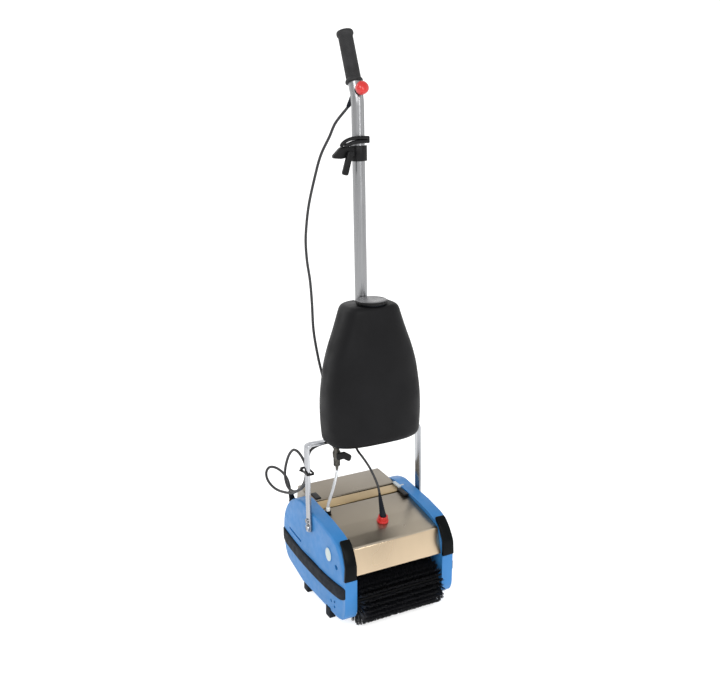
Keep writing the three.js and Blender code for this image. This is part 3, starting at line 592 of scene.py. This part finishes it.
def feet(word):
    """The two rubber feet under a side plate."""
    for where in ("front", "rear"):
        low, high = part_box(f"{word}_{where}_foot")
        y0, y1, top = low[1] / MM, high[1] / MM, high[2] / MM
        outline = rounded([(y0, 0, 4), (y1, 0, 4), (y1 - 1, top), (y0 + 1, top)])
        foot = extrude(f"{word}_{where}_pad", outline, "x", low[0] / MM, high[0] / MM)
        bevel(foot, 1.2, 3)
        finish(foot, RUBBER.material, "chassis", "black_rubber", f"{word}_{where}_foot")


def pivot_bolt(word, side):
    """The domed bolt that a leg of the bail turns on."""
    place = PIVOT @ Matrix.Rotation(side * math.pi / 2, 4, "Y")
    head = [(0, 122), (4, 122), (4, 139.9), (8.6, 139.9), (8.6, 141), (7.6, 141.6), (7.4, 143.2),
            (5.2, 144), (4.4, 143.4), (0, 143)]
    bolt = lathe(f"{word}_bolt", head, 28, place)
    finish(bolt, STEEL.material, "chassis", "steel", f"{word}_pivot_bolt")


for word, side in SIDES:
    side_plate(word, side)
    blank_badge(word, side)
    bumper(word, side)
    corner_guard(word, side)
    feet(word)
    pivot_bolt(word, side)


# ---- body: covers ----
SHEET = 1.5
COVER_HALF = 102.5


def open_line(points, radius, steps=5):
    """An open line of (u, v) with its inner corners rounded."""
    line = [points[0]]
    for before, here, after in zip(points, points[1:], points[2:]):
        here = Vector(here)
        back, on = Vector(before) - here, Vector(after) - here
        trim = min(radius, back.length * 0.45, on.length * 0.45)
        start, end = here + back.normalized() * trim, here + on.normalized() * trim
        line += drawn_to(start, here, end, steps)
    return line + [points[-1]]


def sheet_piece(name, points, look, nodes, radius, thickness=SHEET):
    """Folded sheet: a line of (y, z) with rounded bends, thickened, across the body between the plates."""
    line = [Vector(p) for p in open_line(points, radius)]
    inner = []
    for i, p in enumerate(line):
        along = (line[min(i + 1, len(line) - 1)] - line[max(i - 1, 0)]).normalized()
        inner.append(p + Vector((along.y, -along.x)) * thickness)
    obj = extrude(name, [tuple(p) for p in line + inner[::-1]], "x", -COVER_HALF, COVER_HALF)
    bevel(obj, 0.3, 2, 50)
    finish(obj, look.material, "chassis", "stainless", *nodes)


# (y, z) down the middle: the front face from its lower lip, the nose, then the top back to its flange
FRONT_LINE = [(-131, 119), (-140, 122), (-141, 125), (-127, 176), (-123, 179.5), (-90, 186.5), (-50, 193),
              (22, 202), (22, 188)]
BRIDGE_LINE = [(26.3, 176), (26.3, 202.3), (56.8, 204.6), (56.8, 178)]
sheet_piece("top_cover", FRONT_LINE[3:], COVER, ["front_cover"], 3.0)
sheet_piece("front_panel", FRONT_LINE[:4] + [(-126.2, 177.2)], PANEL, [], 3.0)
sheet_piece("bridge", BRIDGE_LINE, BAND, ["centre_bridge"], 2.0, 2 * SHEET)


def rear_cover():
    """The rear hood: a shell that stands proud of the side plates at the back."""
    skin = rounded([(61, 140), (61, 205.6, 3), (151, 207.5, 12), (160, 160, 20), (166, 100, 20),
                    (150, 52)])
    hollow = rounded([(62.5, 100), (62.5, 204.1, 2), (149.8, 206, 11), (158.4, 160, 20),
                      (164.4, 100, 20), (148.6, 52), (100, 30)])
    hood = extrude("rear_hood", skin, "x", -COVER_HALF, COVER_HALF)
    inside = extrude("inside", hollow, "x", -COVER_HALF + SHEET, COVER_HALF - SHEET)
    cy, cz, radius = REAR_ARC
    near, far = COVER_HALF - SHEET - 0.2, COVER_HALF + 1
    cheeks = [drum("cheek", "x", (cy, cz), radius - 6, *ends, 48) for ends in ((-far, -near), (near, far))]
    cut(hood, inside, *cheeks)
    bevel(hood, 0.4, 2, 40)
    finish(hood, COVER.material, "chassis", "stainless", "rear_cover")


rear_cover()


def clips():
    """The catches that hold the covers at each end of the band, and the pale pad by the right one."""
    for name, look, x0, x1, y0, y1, z0, z1 in (
            ("left_catch", BLACK, -98, -84, 64, 94, 203.5, 209),
            ("right_catch", BLACK, 90, 101, -4, 30, 200, 206),
            ("right_pad", PAD, 96, 112, 34, 62, 203.5, 209)):
        outline = rounded([(y0, z0, 1), (y1, z0 + 1, 1), (y1, z1, 2), (y0, z1 - 1, 2)])
        catch = extrude(name, outline, "x", x0, x1)
        bevel(catch, 0.8)
        finish(catch, look.material, "chassis", "black_plastic" if look is BLACK else "white_plastic")


clips()


# ---- drive, brushes and what shows of the inside ----
BRUSH_REACH = 50.0
BRUSH_ROOT = 21.0
BRUSH_HALF = 100.0
TIP_LIMIT = 101.2
ROWS, TUFTS_IN_ROW, FILAMENTS = 26, 34, 9
ROOT_WIDTH, TIP_WIDTH = 0.75, 0.5
ROOT_SPLAY, TIP_SPLAY = (0.35, 0.6), (1.25, 1.3)  # shares of a filament's offset along and round the core
TIP_WEAR = 2.2


def add_filament(verts, faces, base, tip, y, z):
    """A thin three-sided spike between two points given as (x, angle, radius) about the brush's axis."""
    start = len(verts)
    for (x, angle, radius), width in ((base, ROOT_WIDTH), (tip, TIP_WIDTH)):
        for a in turns(3):
            turn = angle + width * math.sin(a) / radius
            across, up = radius * math.cos(turn), radius * math.sin(turn)
            verts.append((x + width * math.cos(a), y + across, z + up))
    for k in range(3):
        j = (k + 1) % 3
        faces.append([start + k, start + j, start + 3 + j, start + 3 + k])
    faces.append([start, start + 2, start + 1])
    faces.append([start + 3, start + 4, start + 5])


def brush(word):
    """Rows of nylon tufts on a core; every tuft is a spray of tapered filaments."""
    low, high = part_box(f"{word}_brush_bristles")
    y = (low[1] + high[1]) / 2 / MM
    z = (low[2] + high[2]) / 2 / MM
    rng = random.Random(7)
    verts, faces = [], []
    for row, angle in enumerate(turns(ROWS)):
        for k in range(TUFTS_IN_ROW):
            x = -BRUSH_HALF + (k + 0.5 + 0.5 * (row % 2)) * 2 * BRUSH_HALF / (TUFTS_IN_ROW + 0.5)
            for _ in range(FILAMENTS):
                spread, turn = rng.uniform(0.4, 2.6), rng.uniform(0, 2 * math.pi)
                dx, da = spread * math.cos(turn), spread * math.sin(turn) / BRUSH_REACH
                base = (x + dx * ROOT_SPLAY[0], angle + da * ROOT_SPLAY[1], BRUSH_ROOT)
                tip_x = max(-TIP_LIMIT, min(TIP_LIMIT, x + dx * TIP_SPLAY[0]))
                tip = (tip_x, angle + da * TIP_SPLAY[1], BRUSH_REACH - rng.uniform(0.0, TIP_WEAR))
                add_filament(verts, faces, base, tip, y, z)
    tufts = make(f"{word}_tufts", verts, faces)
    finish(tufts, BRISTLE.material, f"{word}_brush", "bristle", f"{word}_brush_bristles", angle=60)


for word in ("front", "rear"):
    brush(word)
    paint(f"{word}_brush_core", BLACK)
    paint(f"{word}_brush_pulley", BLACK)
    paint(f"{word}_brush_shaft", DULL_STEEL)
for word, _ in SIDES:
    for part in ("frame_plate", "front_bearing", "rear_bearing"):
        paint(f"{word}_{part}", DULL_STEEL)
for node, look in (("motor_housing", BLACK), ("motor_shaft", DULL_STEEL), ("idler_pulley", DULL_STEEL),
                   ("cross_rod", DULL_STEEL), ("drive_belt", RUBBER), ("cap_seal", RUBBER),
                   ("pickup_drum", WHITE), ("recovery_tray", WHITE), ("spray_bar", WHITE)):
    paint(node, look)


# ---- bail ----
BAIL_TOP = 193.0
BAIL_FOOT = -9.0
BAIL_OUTER = 139.5
BAIL_INNER = 134.5


def bail():
    """The flat steel bar bent over the body, its feet rounded about the pivots."""
    under = BAIL_TOP - (BAIL_OUTER - BAIL_INNER)
    outline = rounded([(-BAIL_OUTER, BAIL_FOOT), (-BAIL_INNER, BAIL_FOOT), (-BAIL_INNER, under, 6),
                       (BAIL_INNER, under, 6), (BAIL_INNER, BAIL_FOOT), (BAIL_OUTER, BAIL_FOOT),
                       (BAIL_OUTER, BAIL_TOP, 12), (-BAIL_OUTER, BAIL_TOP, 12)], 8)
    bar = extrude("bail_bar", outline, "y", -10, 10, HANDLE)
    mesh = bmesh.new()
    mesh.from_mesh(bar.data)
    back = HANDLE.inverted()
    corners = [e for e in mesh.edges
               if all((back @ v.co).z < (BAIL_FOOT + 0.5) * MM for v in e.verts)
               and abs((back @ e.verts[0].co).y - (back @ e.verts[1].co).y) < 1e-5]
    bmesh.ops.bevel(mesh, geom=corners, offset=0.008, segments=6, profile=0.5, affect="EDGES")
    mesh.to_mesh(bar.data)
    mesh.free()
    bevel(bar, 0.9, 3, 40)
    finish(bar, STEEL.material, "handle", "steel", "bail")
    for word, side in SIDES:
        place = HANDLE @ Matrix.Translation((0, 0.004, 0.015)) @ Matrix.Rotation(side * math.pi / 2, 4, "Y")
        profile = [(0, 134), (5.6, 134), (5.6, 142), (4.8, 143), (3, 142.4), (0, 142.2)]
        pin = lathe(f"{word}_latch_pin", profile, 24, place)
        finish(pin, STEEL.material, "handle", "steel")
    place = HANDLE @ Matrix.Translation((-0.022, 0, 0))
    grommet = lathe("cord_grommet", [(0, 186.2), (5.4, 186.2), (5.6, 188.2), (0, 188.4)], 20, place)
    finish(grommet, RUBBER.material, "handle", "black_rubber")


bail()


# ---- tube, grip and switch ----
TUBE_RADIUS = 13.0
TUBE_END = 136.0
BEND_RADIUS = 70.0
BEND_STEPS = 10


def handle_tube():
    """One aluminium tube, straight to the bend and straight on into the grip."""
    trim = BEND_RADIUS * math.tan(GRIP_BEND / 2)
    line = [(0, 0, BAIL_TOP + 3.5), (0, 0, BAIL_TOP + 7), (0, 0, 540)]
    for k in range(BEND_STEPS + 1):
        a = GRIP_BEND * k / BEND_STEPS
        line.append((0, BEND_RADIUS * (1 - math.cos(a)), BEND_Z - trim + BEND_RADIUS * math.sin(a)))
    line.append((0, TUBE_END * math.sin(GRIP_BEND), BEND_Z + TUBE_END * math.cos(GRIP_BEND)))
    obj = tube("grip_tube", line, TUBE_RADIUS, 56, HANDLE)
    finish(obj, ALUMINIUM.material, "handle", "aluminium", "handle_tube", angle=50)


def grip():
    """A moulded rubber grip with a flange at each end and fine ribs between."""
    profile = [(0, 141), (13.5, 141), (16.4, 140.2), (17.4, 138.2), (17.5, 134), (16.6, 131.5), (15.2, 130)]
    crest, groove, pitch = 15.15, 14.75, 2.6
    z = 128.5
    while z > 43:
        profile += [(crest, z), (crest, z - 1.3), (groove, z - 1.6), (groove, z - 2.3), (crest, z - pitch)]
        z -= pitch
    profile += [(15.3, 42), (16.6, 40), (17.8, 37.6), (18, 35), (17.3, 34), (13.1, 34), (13.1, 36), (0, 36)]
    obj = lathe("grip_sleeve", profile, 48, GRIP)
    finish(obj, GRIP_RUBBER.material, "handle", "black_rubber", "hand_grip", angle=60)


def boot_ribs(count, radius, taper, start, pitch, land, depth, end):
    """Shrinking ribs of a cord boot: each holds its radius for land, then a groove of depth runs to end."""
    profile = []
    for k in range(count):
        r, z = radius - taper * k, start + pitch * k
        profile += [(r, z), (r, z + land), (r - depth, z + land + 0.4), (r - depth, z + end)]
    return profile


def switch():
    """The red mushroom button on its short housing ahead of the tube."""
    place = GRIP @ Matrix.Translation((0, 0, 0.012)) @ Matrix.Rotation(math.pi / 2, 4, "X")
    profile = [(0, 11), (9.4, 11), (9.6, 13), (9.6, 19.6), (9.2, 20.8), (5.4, 21), (5.4, 14.2), (0, 14.2)]
    housing = lathe("switch_housing", profile, 36, place)
    finish(housing, BLACK.material, "handle", "black_plastic", "button_housing")
    profile = [(0, 18.5), (4.9, 18.5), (5, 26), (10.2, 26), (10.4, 20.4), (11.6, 20.1), (12.6, 21.2),
               (13.1, 24), (13.2, 29.2), (12.6, 32), (11, 34.2), (8.6, 35.9), (5.6, 36.9), (2.6, 37.25),
               (0, 37.3)]
    button = lathe("red_button", profile, 48, place)
    finish(button, RED.material, "push_button", "red_plastic", "push_button", angle=40)


def switch_boot():
    """The ribbed boot where the lead leaves the tube, hollowed so that it sits on the tube."""
    place = Matrix.Translation((-0.001, 0.0645, 1.073)) @ Matrix.Rotation(-2.25, 4, "X")
    profile = [(0, 2), (7, 2), (7.1, 6), (6.4, 8)] + boot_ribs(7, 6.3, 0.36, 9, 3.4, 1.8, 0.9, 3.1)
    boot = lathe("switch_cord_boot", profile + [(3.3, 34), (0, 34)], 28, place)
    cut(boot, drum("tube", "z", (0, 0), TUBE_RADIUS + 1.2, 700, 1000, 40, HANDLE),
        drum("tube", "z", (0, 0), TUBE_RADIUS + 1.2, -200, 200, 40, GRIP))
    finish(boot, RUBBER.material, "handle", "black_rubber", "switch_boot")


handle_tube()
grip()
switch()
switch_boot()


# ---- clamp, hook and lever ----
CLAMP_Z = 778.0


def clamp():
    """The fluted collar with its jaw, its bolt and the lever in front."""
    flutes = toothed(72, lambda k: 17.4 if k % 2 else 17.0)
    collar = extrude("clamp_ring", flutes, "z", CLAMP_Z + 0.2, CLAMP_Z + 30.8, HANDLE)
    bore = drum("bore", "z", (0, 0), TUBE_RADIUS + 0.2, CLAMP_Z - 5, CLAMP_Z + 40, 48, HANDLE)
    cut(collar, bore)
    bevel(collar, 0.7, 2, 50)
    finish(collar, BLACK.material, "handle", "black_plastic", "clamp_collar")
    z = CLAMP_Z
    jaw_shape = rounded([(-14, z + 29), (-26, z + 30.5, 4), (-40, z + 31, 6), (-47, z + 27, 5),
                         (-61.5, z + 13.5, 4), (-60, z + 8, 3), (-44, z + 6.5, 6), (-30, z + 8.5, 5),
                         (-14, z + 10)])
    jaw = extrude("clamp_jaw", jaw_shape, "y", -12, -1, HANDLE)
    bevel(jaw, 1.6, 4)
    finish(jaw, BLACK.material, "handle", "black_plastic")
    place = HANDLE @ Matrix.Translation((-0.026, 0, (z + 16) * MM)) @ Matrix.Rotation(math.pi / 2, 4, "X")
    bolt = lathe("clamp_bolt", [(0, 12), (4.6, 12), (4.6, 22.4), (3.8, 23), (0, 23.1)], 20, place)
    finish(bolt, BLACK.material, "handle", "steel")
    lever_shape = rounded([(-33, z + 21.5, 5), (-47, z - 23.5, 5), (-34.5, z - 27, 5),
                           (-20.5, z + 21.5, 5)], 6)
    lever = extrude("clamp_handle", lever_shape, "y", -21.8, -12.6, HANDLE)
    bevel(lever, 2.2, 4)
    finish(lever, BLACK.material, "clamp_lever", "black_plastic", "clamp_lever")


def strap(name, line, radius):
    """One arm of the cord hook."""
    obj = tube(name, spline(line, 2.5), radius, 14, HANDLE)
    finish(obj, BLACK.material, "handle", "black_plastic", angle=60)


def hook():
    """The cord hook: two arms that rise from the jaw and meet in an end ahead of the tube."""
    z = CLAMP_Z
    upper = [(-47, -17, z + 31), (-45, -18, z + 36), (-38, -19, z + 41.5), (-27, -20, z + 45.5),
             (-14, -20.5, z + 47), (0, -20.5, z + 47), (9, -19.5, z + 46.5), (13, -16.5, z + 45.5)]
    lower = [(-40, -18, z + 32), (-31, -19, z + 35), (-22, -20, z + 38), (-10, -20.5, z + 39.5),
             (2, -20.5, z + 39.5), (10, -18.5, z + 39.5), (13, -16.5, z + 39.5)]
    strap("hook_upper", upper, 3.7)
    strap("hook_lower", lower, 4.0)
    end_shape = rounded([(8, z + 35.5, 3), (15.2, z + 35.5, 3), (15.2, z + 50, 3), (8, z + 50, 3)])
    end = extrude("hook_end", end_shape, "y", -22, -14.6, HANDLE)
    bevel(end, 1.8, 4)
    finish(end, BLACK.material, "handle", "black_plastic", "cable_hook")


clamp()
hook()


# ---- tank ----
TANK_BASE = BAIL_TOP + 1.2
TANK_HEIGHT = 296.0
TANK_Y = -33.0
NECK_Y = -46.8
TANK_LEVELS = [  # height, half width, half depth
    (0, 90, 45), (1, 96, 50), (3.5, 101, 54.5), (7, 104.2, 57.2), (12, 106.6, 59.4), (25, 108, 60.3),
    (45, 109.3, 60.9), (70, 110, 61), (100, 109, 61), (135, 105, 60), (170, 99, 59), (205, 89, 57),
    (240, 76, 54), (265, 67.5, 51.5), (280, 62.6, 50), (287, 60, 48.8), (291, 57.5, 47.2),
    (294, 54, 44.8), (TANK_HEIGHT, 49, 41)]


def tank():
    """The rotationally moulded bell of rounded-square sections, with a channel for the tube behind."""
    power = 3.0
    loops = []
    for height, half_width, half_depth in spline(TANK_LEVELS, 5.0):
        loop = []
        for a in turns(96):
            c, s = math.cos(a), math.sin(a)
            r = (abs(c) ** power + abs(s) ** power) ** (-1 / power)
            loop.append((half_width * r * c, TANK_Y + half_depth * r * s, TANK_BASE + height))
        loops.append(loop)
    body = loft("tank_shell", loops, HANDLE)
    channel = rounded([(-13.9, -14.3, 9), (13.9, -14.3, 9), (13.9, 60), (-13.9, 60)], 8)
    neck = drum("neck", "z", (0, NECK_Y), 24, TANK_BASE + 280, TANK_BASE + 310, 48, HANDLE)
    cut(body, extrude("channel", channel, "z", 150, 540, HANDLE), neck)
    bevel(body, 1.5, 3, 50)
    finish(body, TANK.material, "handle", "tank_plastic", "tank", angle=40)


def filler_cap():
    """The screw cap over the neck: a knurled skirt and a dished grey top."""
    top = TANK_BASE + TANK_HEIGHT + 0.3
    place = HANDLE @ Matrix.Translation((0, NECK_Y * MM, 0))
    knurl = toothed(96, lambda k: 33.0 if k % 4 < 2 else 32.3)
    skirt = extrude("cap_skirt", knurl, "z", top + 2.6, top + 8.2, place)
    bevel(skirt, 0.4, 2, 40)
    finish(skirt, BLACK.material, "filler_cap", "black_plastic")
    profile = [(0, top + 7), (31, top + 7), (31.6, top + 8.6), (30.6, top + 9.8), (27, top + 10.2),
               (26, top + 9.5), (12, top + 9.4), (0, top + 9.6)]
    disc = lathe("cap_disc", profile, 56, place)
    finish(disc, CAP_GREY.material, "filler_cap", "black_plastic", "filler_cap")


tank()
filler_cap()


# ---- tap, hose end and leads' fittings ----
TAP_X, TAP_Y = -84.0, -36.0


def tap():
    """The tap under the tank: a turned body that ends in a hose tail, its stem and its lever."""
    top = TANK_BASE - 0.3
    place = HANDLE @ Matrix.Translation((TAP_X * MM, TAP_Y * MM, 0))
    profile = [(0, top), (8.6, top), (8.6, top - 5), (7.4, top - 6.6), (6.4, top - 8), (6.4, top - 12)]
    profile += [(7.8, top - 14), (8.6, top - 16), (8.6, top - 26), (7.4, top - 28.5)]
    z = top - 30
    while z > top - 46:
        profile += [(7.2, z), (7.2, z - 1.2), (6.5, z - 1.5), (6.5, z - 2.1)]
        z -= 2.4
    profile += [(6.2, z), (3.6, z - 1), (2.9, top - 55.5), (0, top - 56)]
    body = lathe("tap_barrel", profile, 28, place)
    finish(body, BRASS.material, "handle", "brass", "tap_body")
    across = place @ Matrix.Translation((0, 0, (top - 21) * MM)) @ Matrix.Rotation(math.pi / 2, 4, "X")
    stem = lathe("tap_stem", [(0, 0), (4.4, 0), (4.4, 9.6), (3.6, 10.6), (0, 10.7)], 20, across)
    finish(stem, ZINC.material, "handle", "brass")
    shape = rounded([(TAP_X - 7, top - 13, 5), (TAP_X + 12, top - 13, 5), (TAP_X + 28, top - 24, 6),
                     (TAP_X + 23, top - 38, 6), (TAP_X + 8, top - 28, 5), (TAP_X - 7, top - 29, 5)], 6)
    lever = extrude("tap_grip", shape, "y", TAP_Y - 18, TAP_Y - 11.4, HANDLE)
    bevel(lever, 1.8, 4)
    finish(lever, BLACK.material, "tap_lever", "black_plastic", "tap_lever")


def socket_and_boot():
    """The red socket on the front cover, and the boot of the short lead that stands in it."""
    place = Matrix.Translation((0, -0.066, 0.1908)) @ Matrix.Rotation(0.161, 4, "X")
    profile = [(0, 0), (12.6, 0), (13, 0.8), (13, 3), (12.4, 4), (11.2, 4.6), (10.6, 12.6), (10, 13.4),
               (7.6, 13.4), (7.2, 9), (0, 9)]
    socket = lathe("red_socket", profile, 40, place)
    finish(socket, RED.material, "chassis", "red_plastic", "lead_socket")
    place = Matrix.Translation((0, -0.0675, 0.203)) @ Matrix.Rotation(-0.331, 4, "X")
    profile = [(0, -3), (6.6, -3), (7, 1), (7, 5), (6.2, 8), (6.0, 11)]
    profile += boot_ribs(8, 5.9, 0.33, 12, 4.4, 2.6, 0.7, 4.0) + [(2.9, 50), (0, 50)]
    boot = lathe("socket_boot", profile, 32, place)
    finish(boot, RUBBER.material, "chassis", "black_rubber", "lead_boot")


def gland():
    """The gland at the rear of the body that the slack loops run into."""
    turn = Matrix.Rotation(-0.15, 4, "Y") @ Matrix.Rotation(-0.18, 4, "X")
    place = Matrix.Translation((-0.120, 0.141, 0.170)) @ turn
    profile = [(0, -16), (8, -16), (8, 8), (7.4, 9), (6.7, 10)]
    profile += boot_ribs(5, 6.6, 0.34, 11, 3.6, 2, 0.7, 3.3) + [(3.6, 30), (0, 30)]
    obj = lathe("cord_gland", profile, 28, place)
    finish(obj, RUBBER.material, "chassis", "black_plastic", "lead_gland")


def hose_fitting():
    """The hose's connector on the body: a base with a white ring."""
    low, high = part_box("hose_fitting")
    place = Matrix.Translation(((low[0] + high[0]) / 2, (low[1] + high[1]) / 2, low[2]))
    base = lathe("hose_base", [(0, 0), (6.5, 0), (6.5, 4.4), (5.6, 5), (0, 5.2)], 24, place)
    finish(base, BLACK.material, "chassis", "black_plastic", "hose_fitting")
    ring = lathe("hose_ring", [(0, 5), (4.4, 5), (4.4, 12.4), (3.8, 13), (0, 13)], 24, place)
    finish(ring, WHITE.material, "chassis", "white_plastic")


def cable_tie():
    """The tie that holds the lead to the bail's left leg, with its head and cut tail."""
    low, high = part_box("cable_tie")
    (x0, y0, z0), (x1, y1, z1) = [[c / MM for c in corner] for corner in (low, high)]
    thick = 1.3
    outer = rounded([(x0, y0, 3), (x1, y0, 3), (x1, y1, 5), (x0, y1, 5)], 6)
    inner = rounded([(x0 + thick, y0 + thick, 2), (x1 - thick, y0 + thick, 2),
                     (x1 - thick, y1 - thick, 4), (x0 + thick, y1 - thick, 4)], 6)
    band = extrude("tie_band", outer, "z", z0, z1)
    cut(band, extrude("hole", inner, "z", z0 - 5, z1 + 5))
    finish(band, BLACK.material, "handle", "black_plastic", "cable_tie")
    block = rounded([(x0 - 1.5, y1 - 14, 1), (x0 + 1.8, y1 - 14, 1), (x0 + 1.8, y1 - 5, 1),
                     (x0 - 1.5, y1 - 5, 1)])
    head = extrude("tie_head", block, "z", z0 - 1.5, z1 + 1.5)
    bevel(head, 0.5)
    finish(head, BLACK.material, "handle", "black_plastic")
    strip = [(x0 + 1, y1 - 9), (x0 - 5, y1 - 11), (x0 - 5.4, y1 - 9.8), (x0 + 1, y1 - 7.6)]
    tail = extrude("tie_tail", strip, "z", z0 + 0.6, z1 - 0.6)
    finish(tail, BLACK.material, "handle", "black_plastic")


tap()
socket_and_boot()
gland()
hose_fitting()
cable_tie()


# ---- stage and light ----
FLOOR_FRONT, FLOOR_REAR, FLOOR_HALF = -6, 5, 9
COVE_RADIUS, COVE_STEPS, WALL_TOP = 2, 12, 7


def stage():
    """A pale floor that curves up into a backdrop, in metres."""
    profile = [(FLOOR_FRONT, 0), (FLOOR_REAR, 0)]
    for k in range(1, COVE_STEPS + 1):
        a = math.pi / 2 * k / COVE_STEPS
        profile.append((FLOOR_REAR + COVE_RADIUS * math.sin(a), COVE_RADIUS * (1 - math.cos(a))))
    profile.append((FLOOR_REAR + COVE_RADIUS, WALL_TOP))
    verts = [(x / MM, y / MM, z / MM) for y, z in profile for x in (-FLOOR_HALF, FLOOR_HALF)]
    faces = [[2 * i, 2 * i + 1, 2 * i + 3, 2 * i + 2] for i in range(len(profile) - 1)]
    floor = make("floor", verts, faces)
    shade(floor, 60)
    look = Look("floor_paper", (0.55, 0.55, 0.55), 0.8)
    look.set("Emission Color", (1, 1, 1, 1))
    look.set("Emission Strength", 0.75)
    look.mottle(2.0, 0.006)
    floor.data.materials.append(look.material)


def lamp(name, at, target, size, power):
    """A soft rectangular lamp at a place, aimed at a target."""
    data = bpy.data.lights.new(name, "AREA")
    data.shape = "RECTANGLE"
    data.size, data.size_y = size
    data.energy = power
    obj = bpy.data.objects.new(name, data)
    obj.location = at
    obj.rotation_euler = (Vector(target) - Vector(at)).to_track_quat("-Z", "Y").to_euler()
    bpy.context.scene.collection.objects.link(obj)


def lights():
    """A bright even room, with a key from the camera's left and three weaker lamps."""
    world = bpy.data.worlds.new("soft_room")
    world.use_nodes = True
    sky = world.node_tree.nodes["Background"]
    sky.inputs["Color"].default_value = (1, 1, 1, 1)
    sky.inputs["Strength"].default_value = 0.8
    bpy.context.scene.world = world
    lamp("key", (-1.6, -2.2, 2.6), (0, 0, 0.4), (1.6, 1.6), 44)
    lamp("fill", (2.4, -1.2, 1.6), (0, 0, 0.4), (1.4, 1.8), 6)
    lamp("rim", (-1.8, 1.6, 2.4), (0, 0, 0.5), (1.6, 1.2), 14)
    lamp("front", (0.33, -2.4, 1.7), (0, 0, 1.0), (0.35, 1.4), 14)


stage()
lights()
bpy.context.scene.view_settings.view_transform = "Standard"
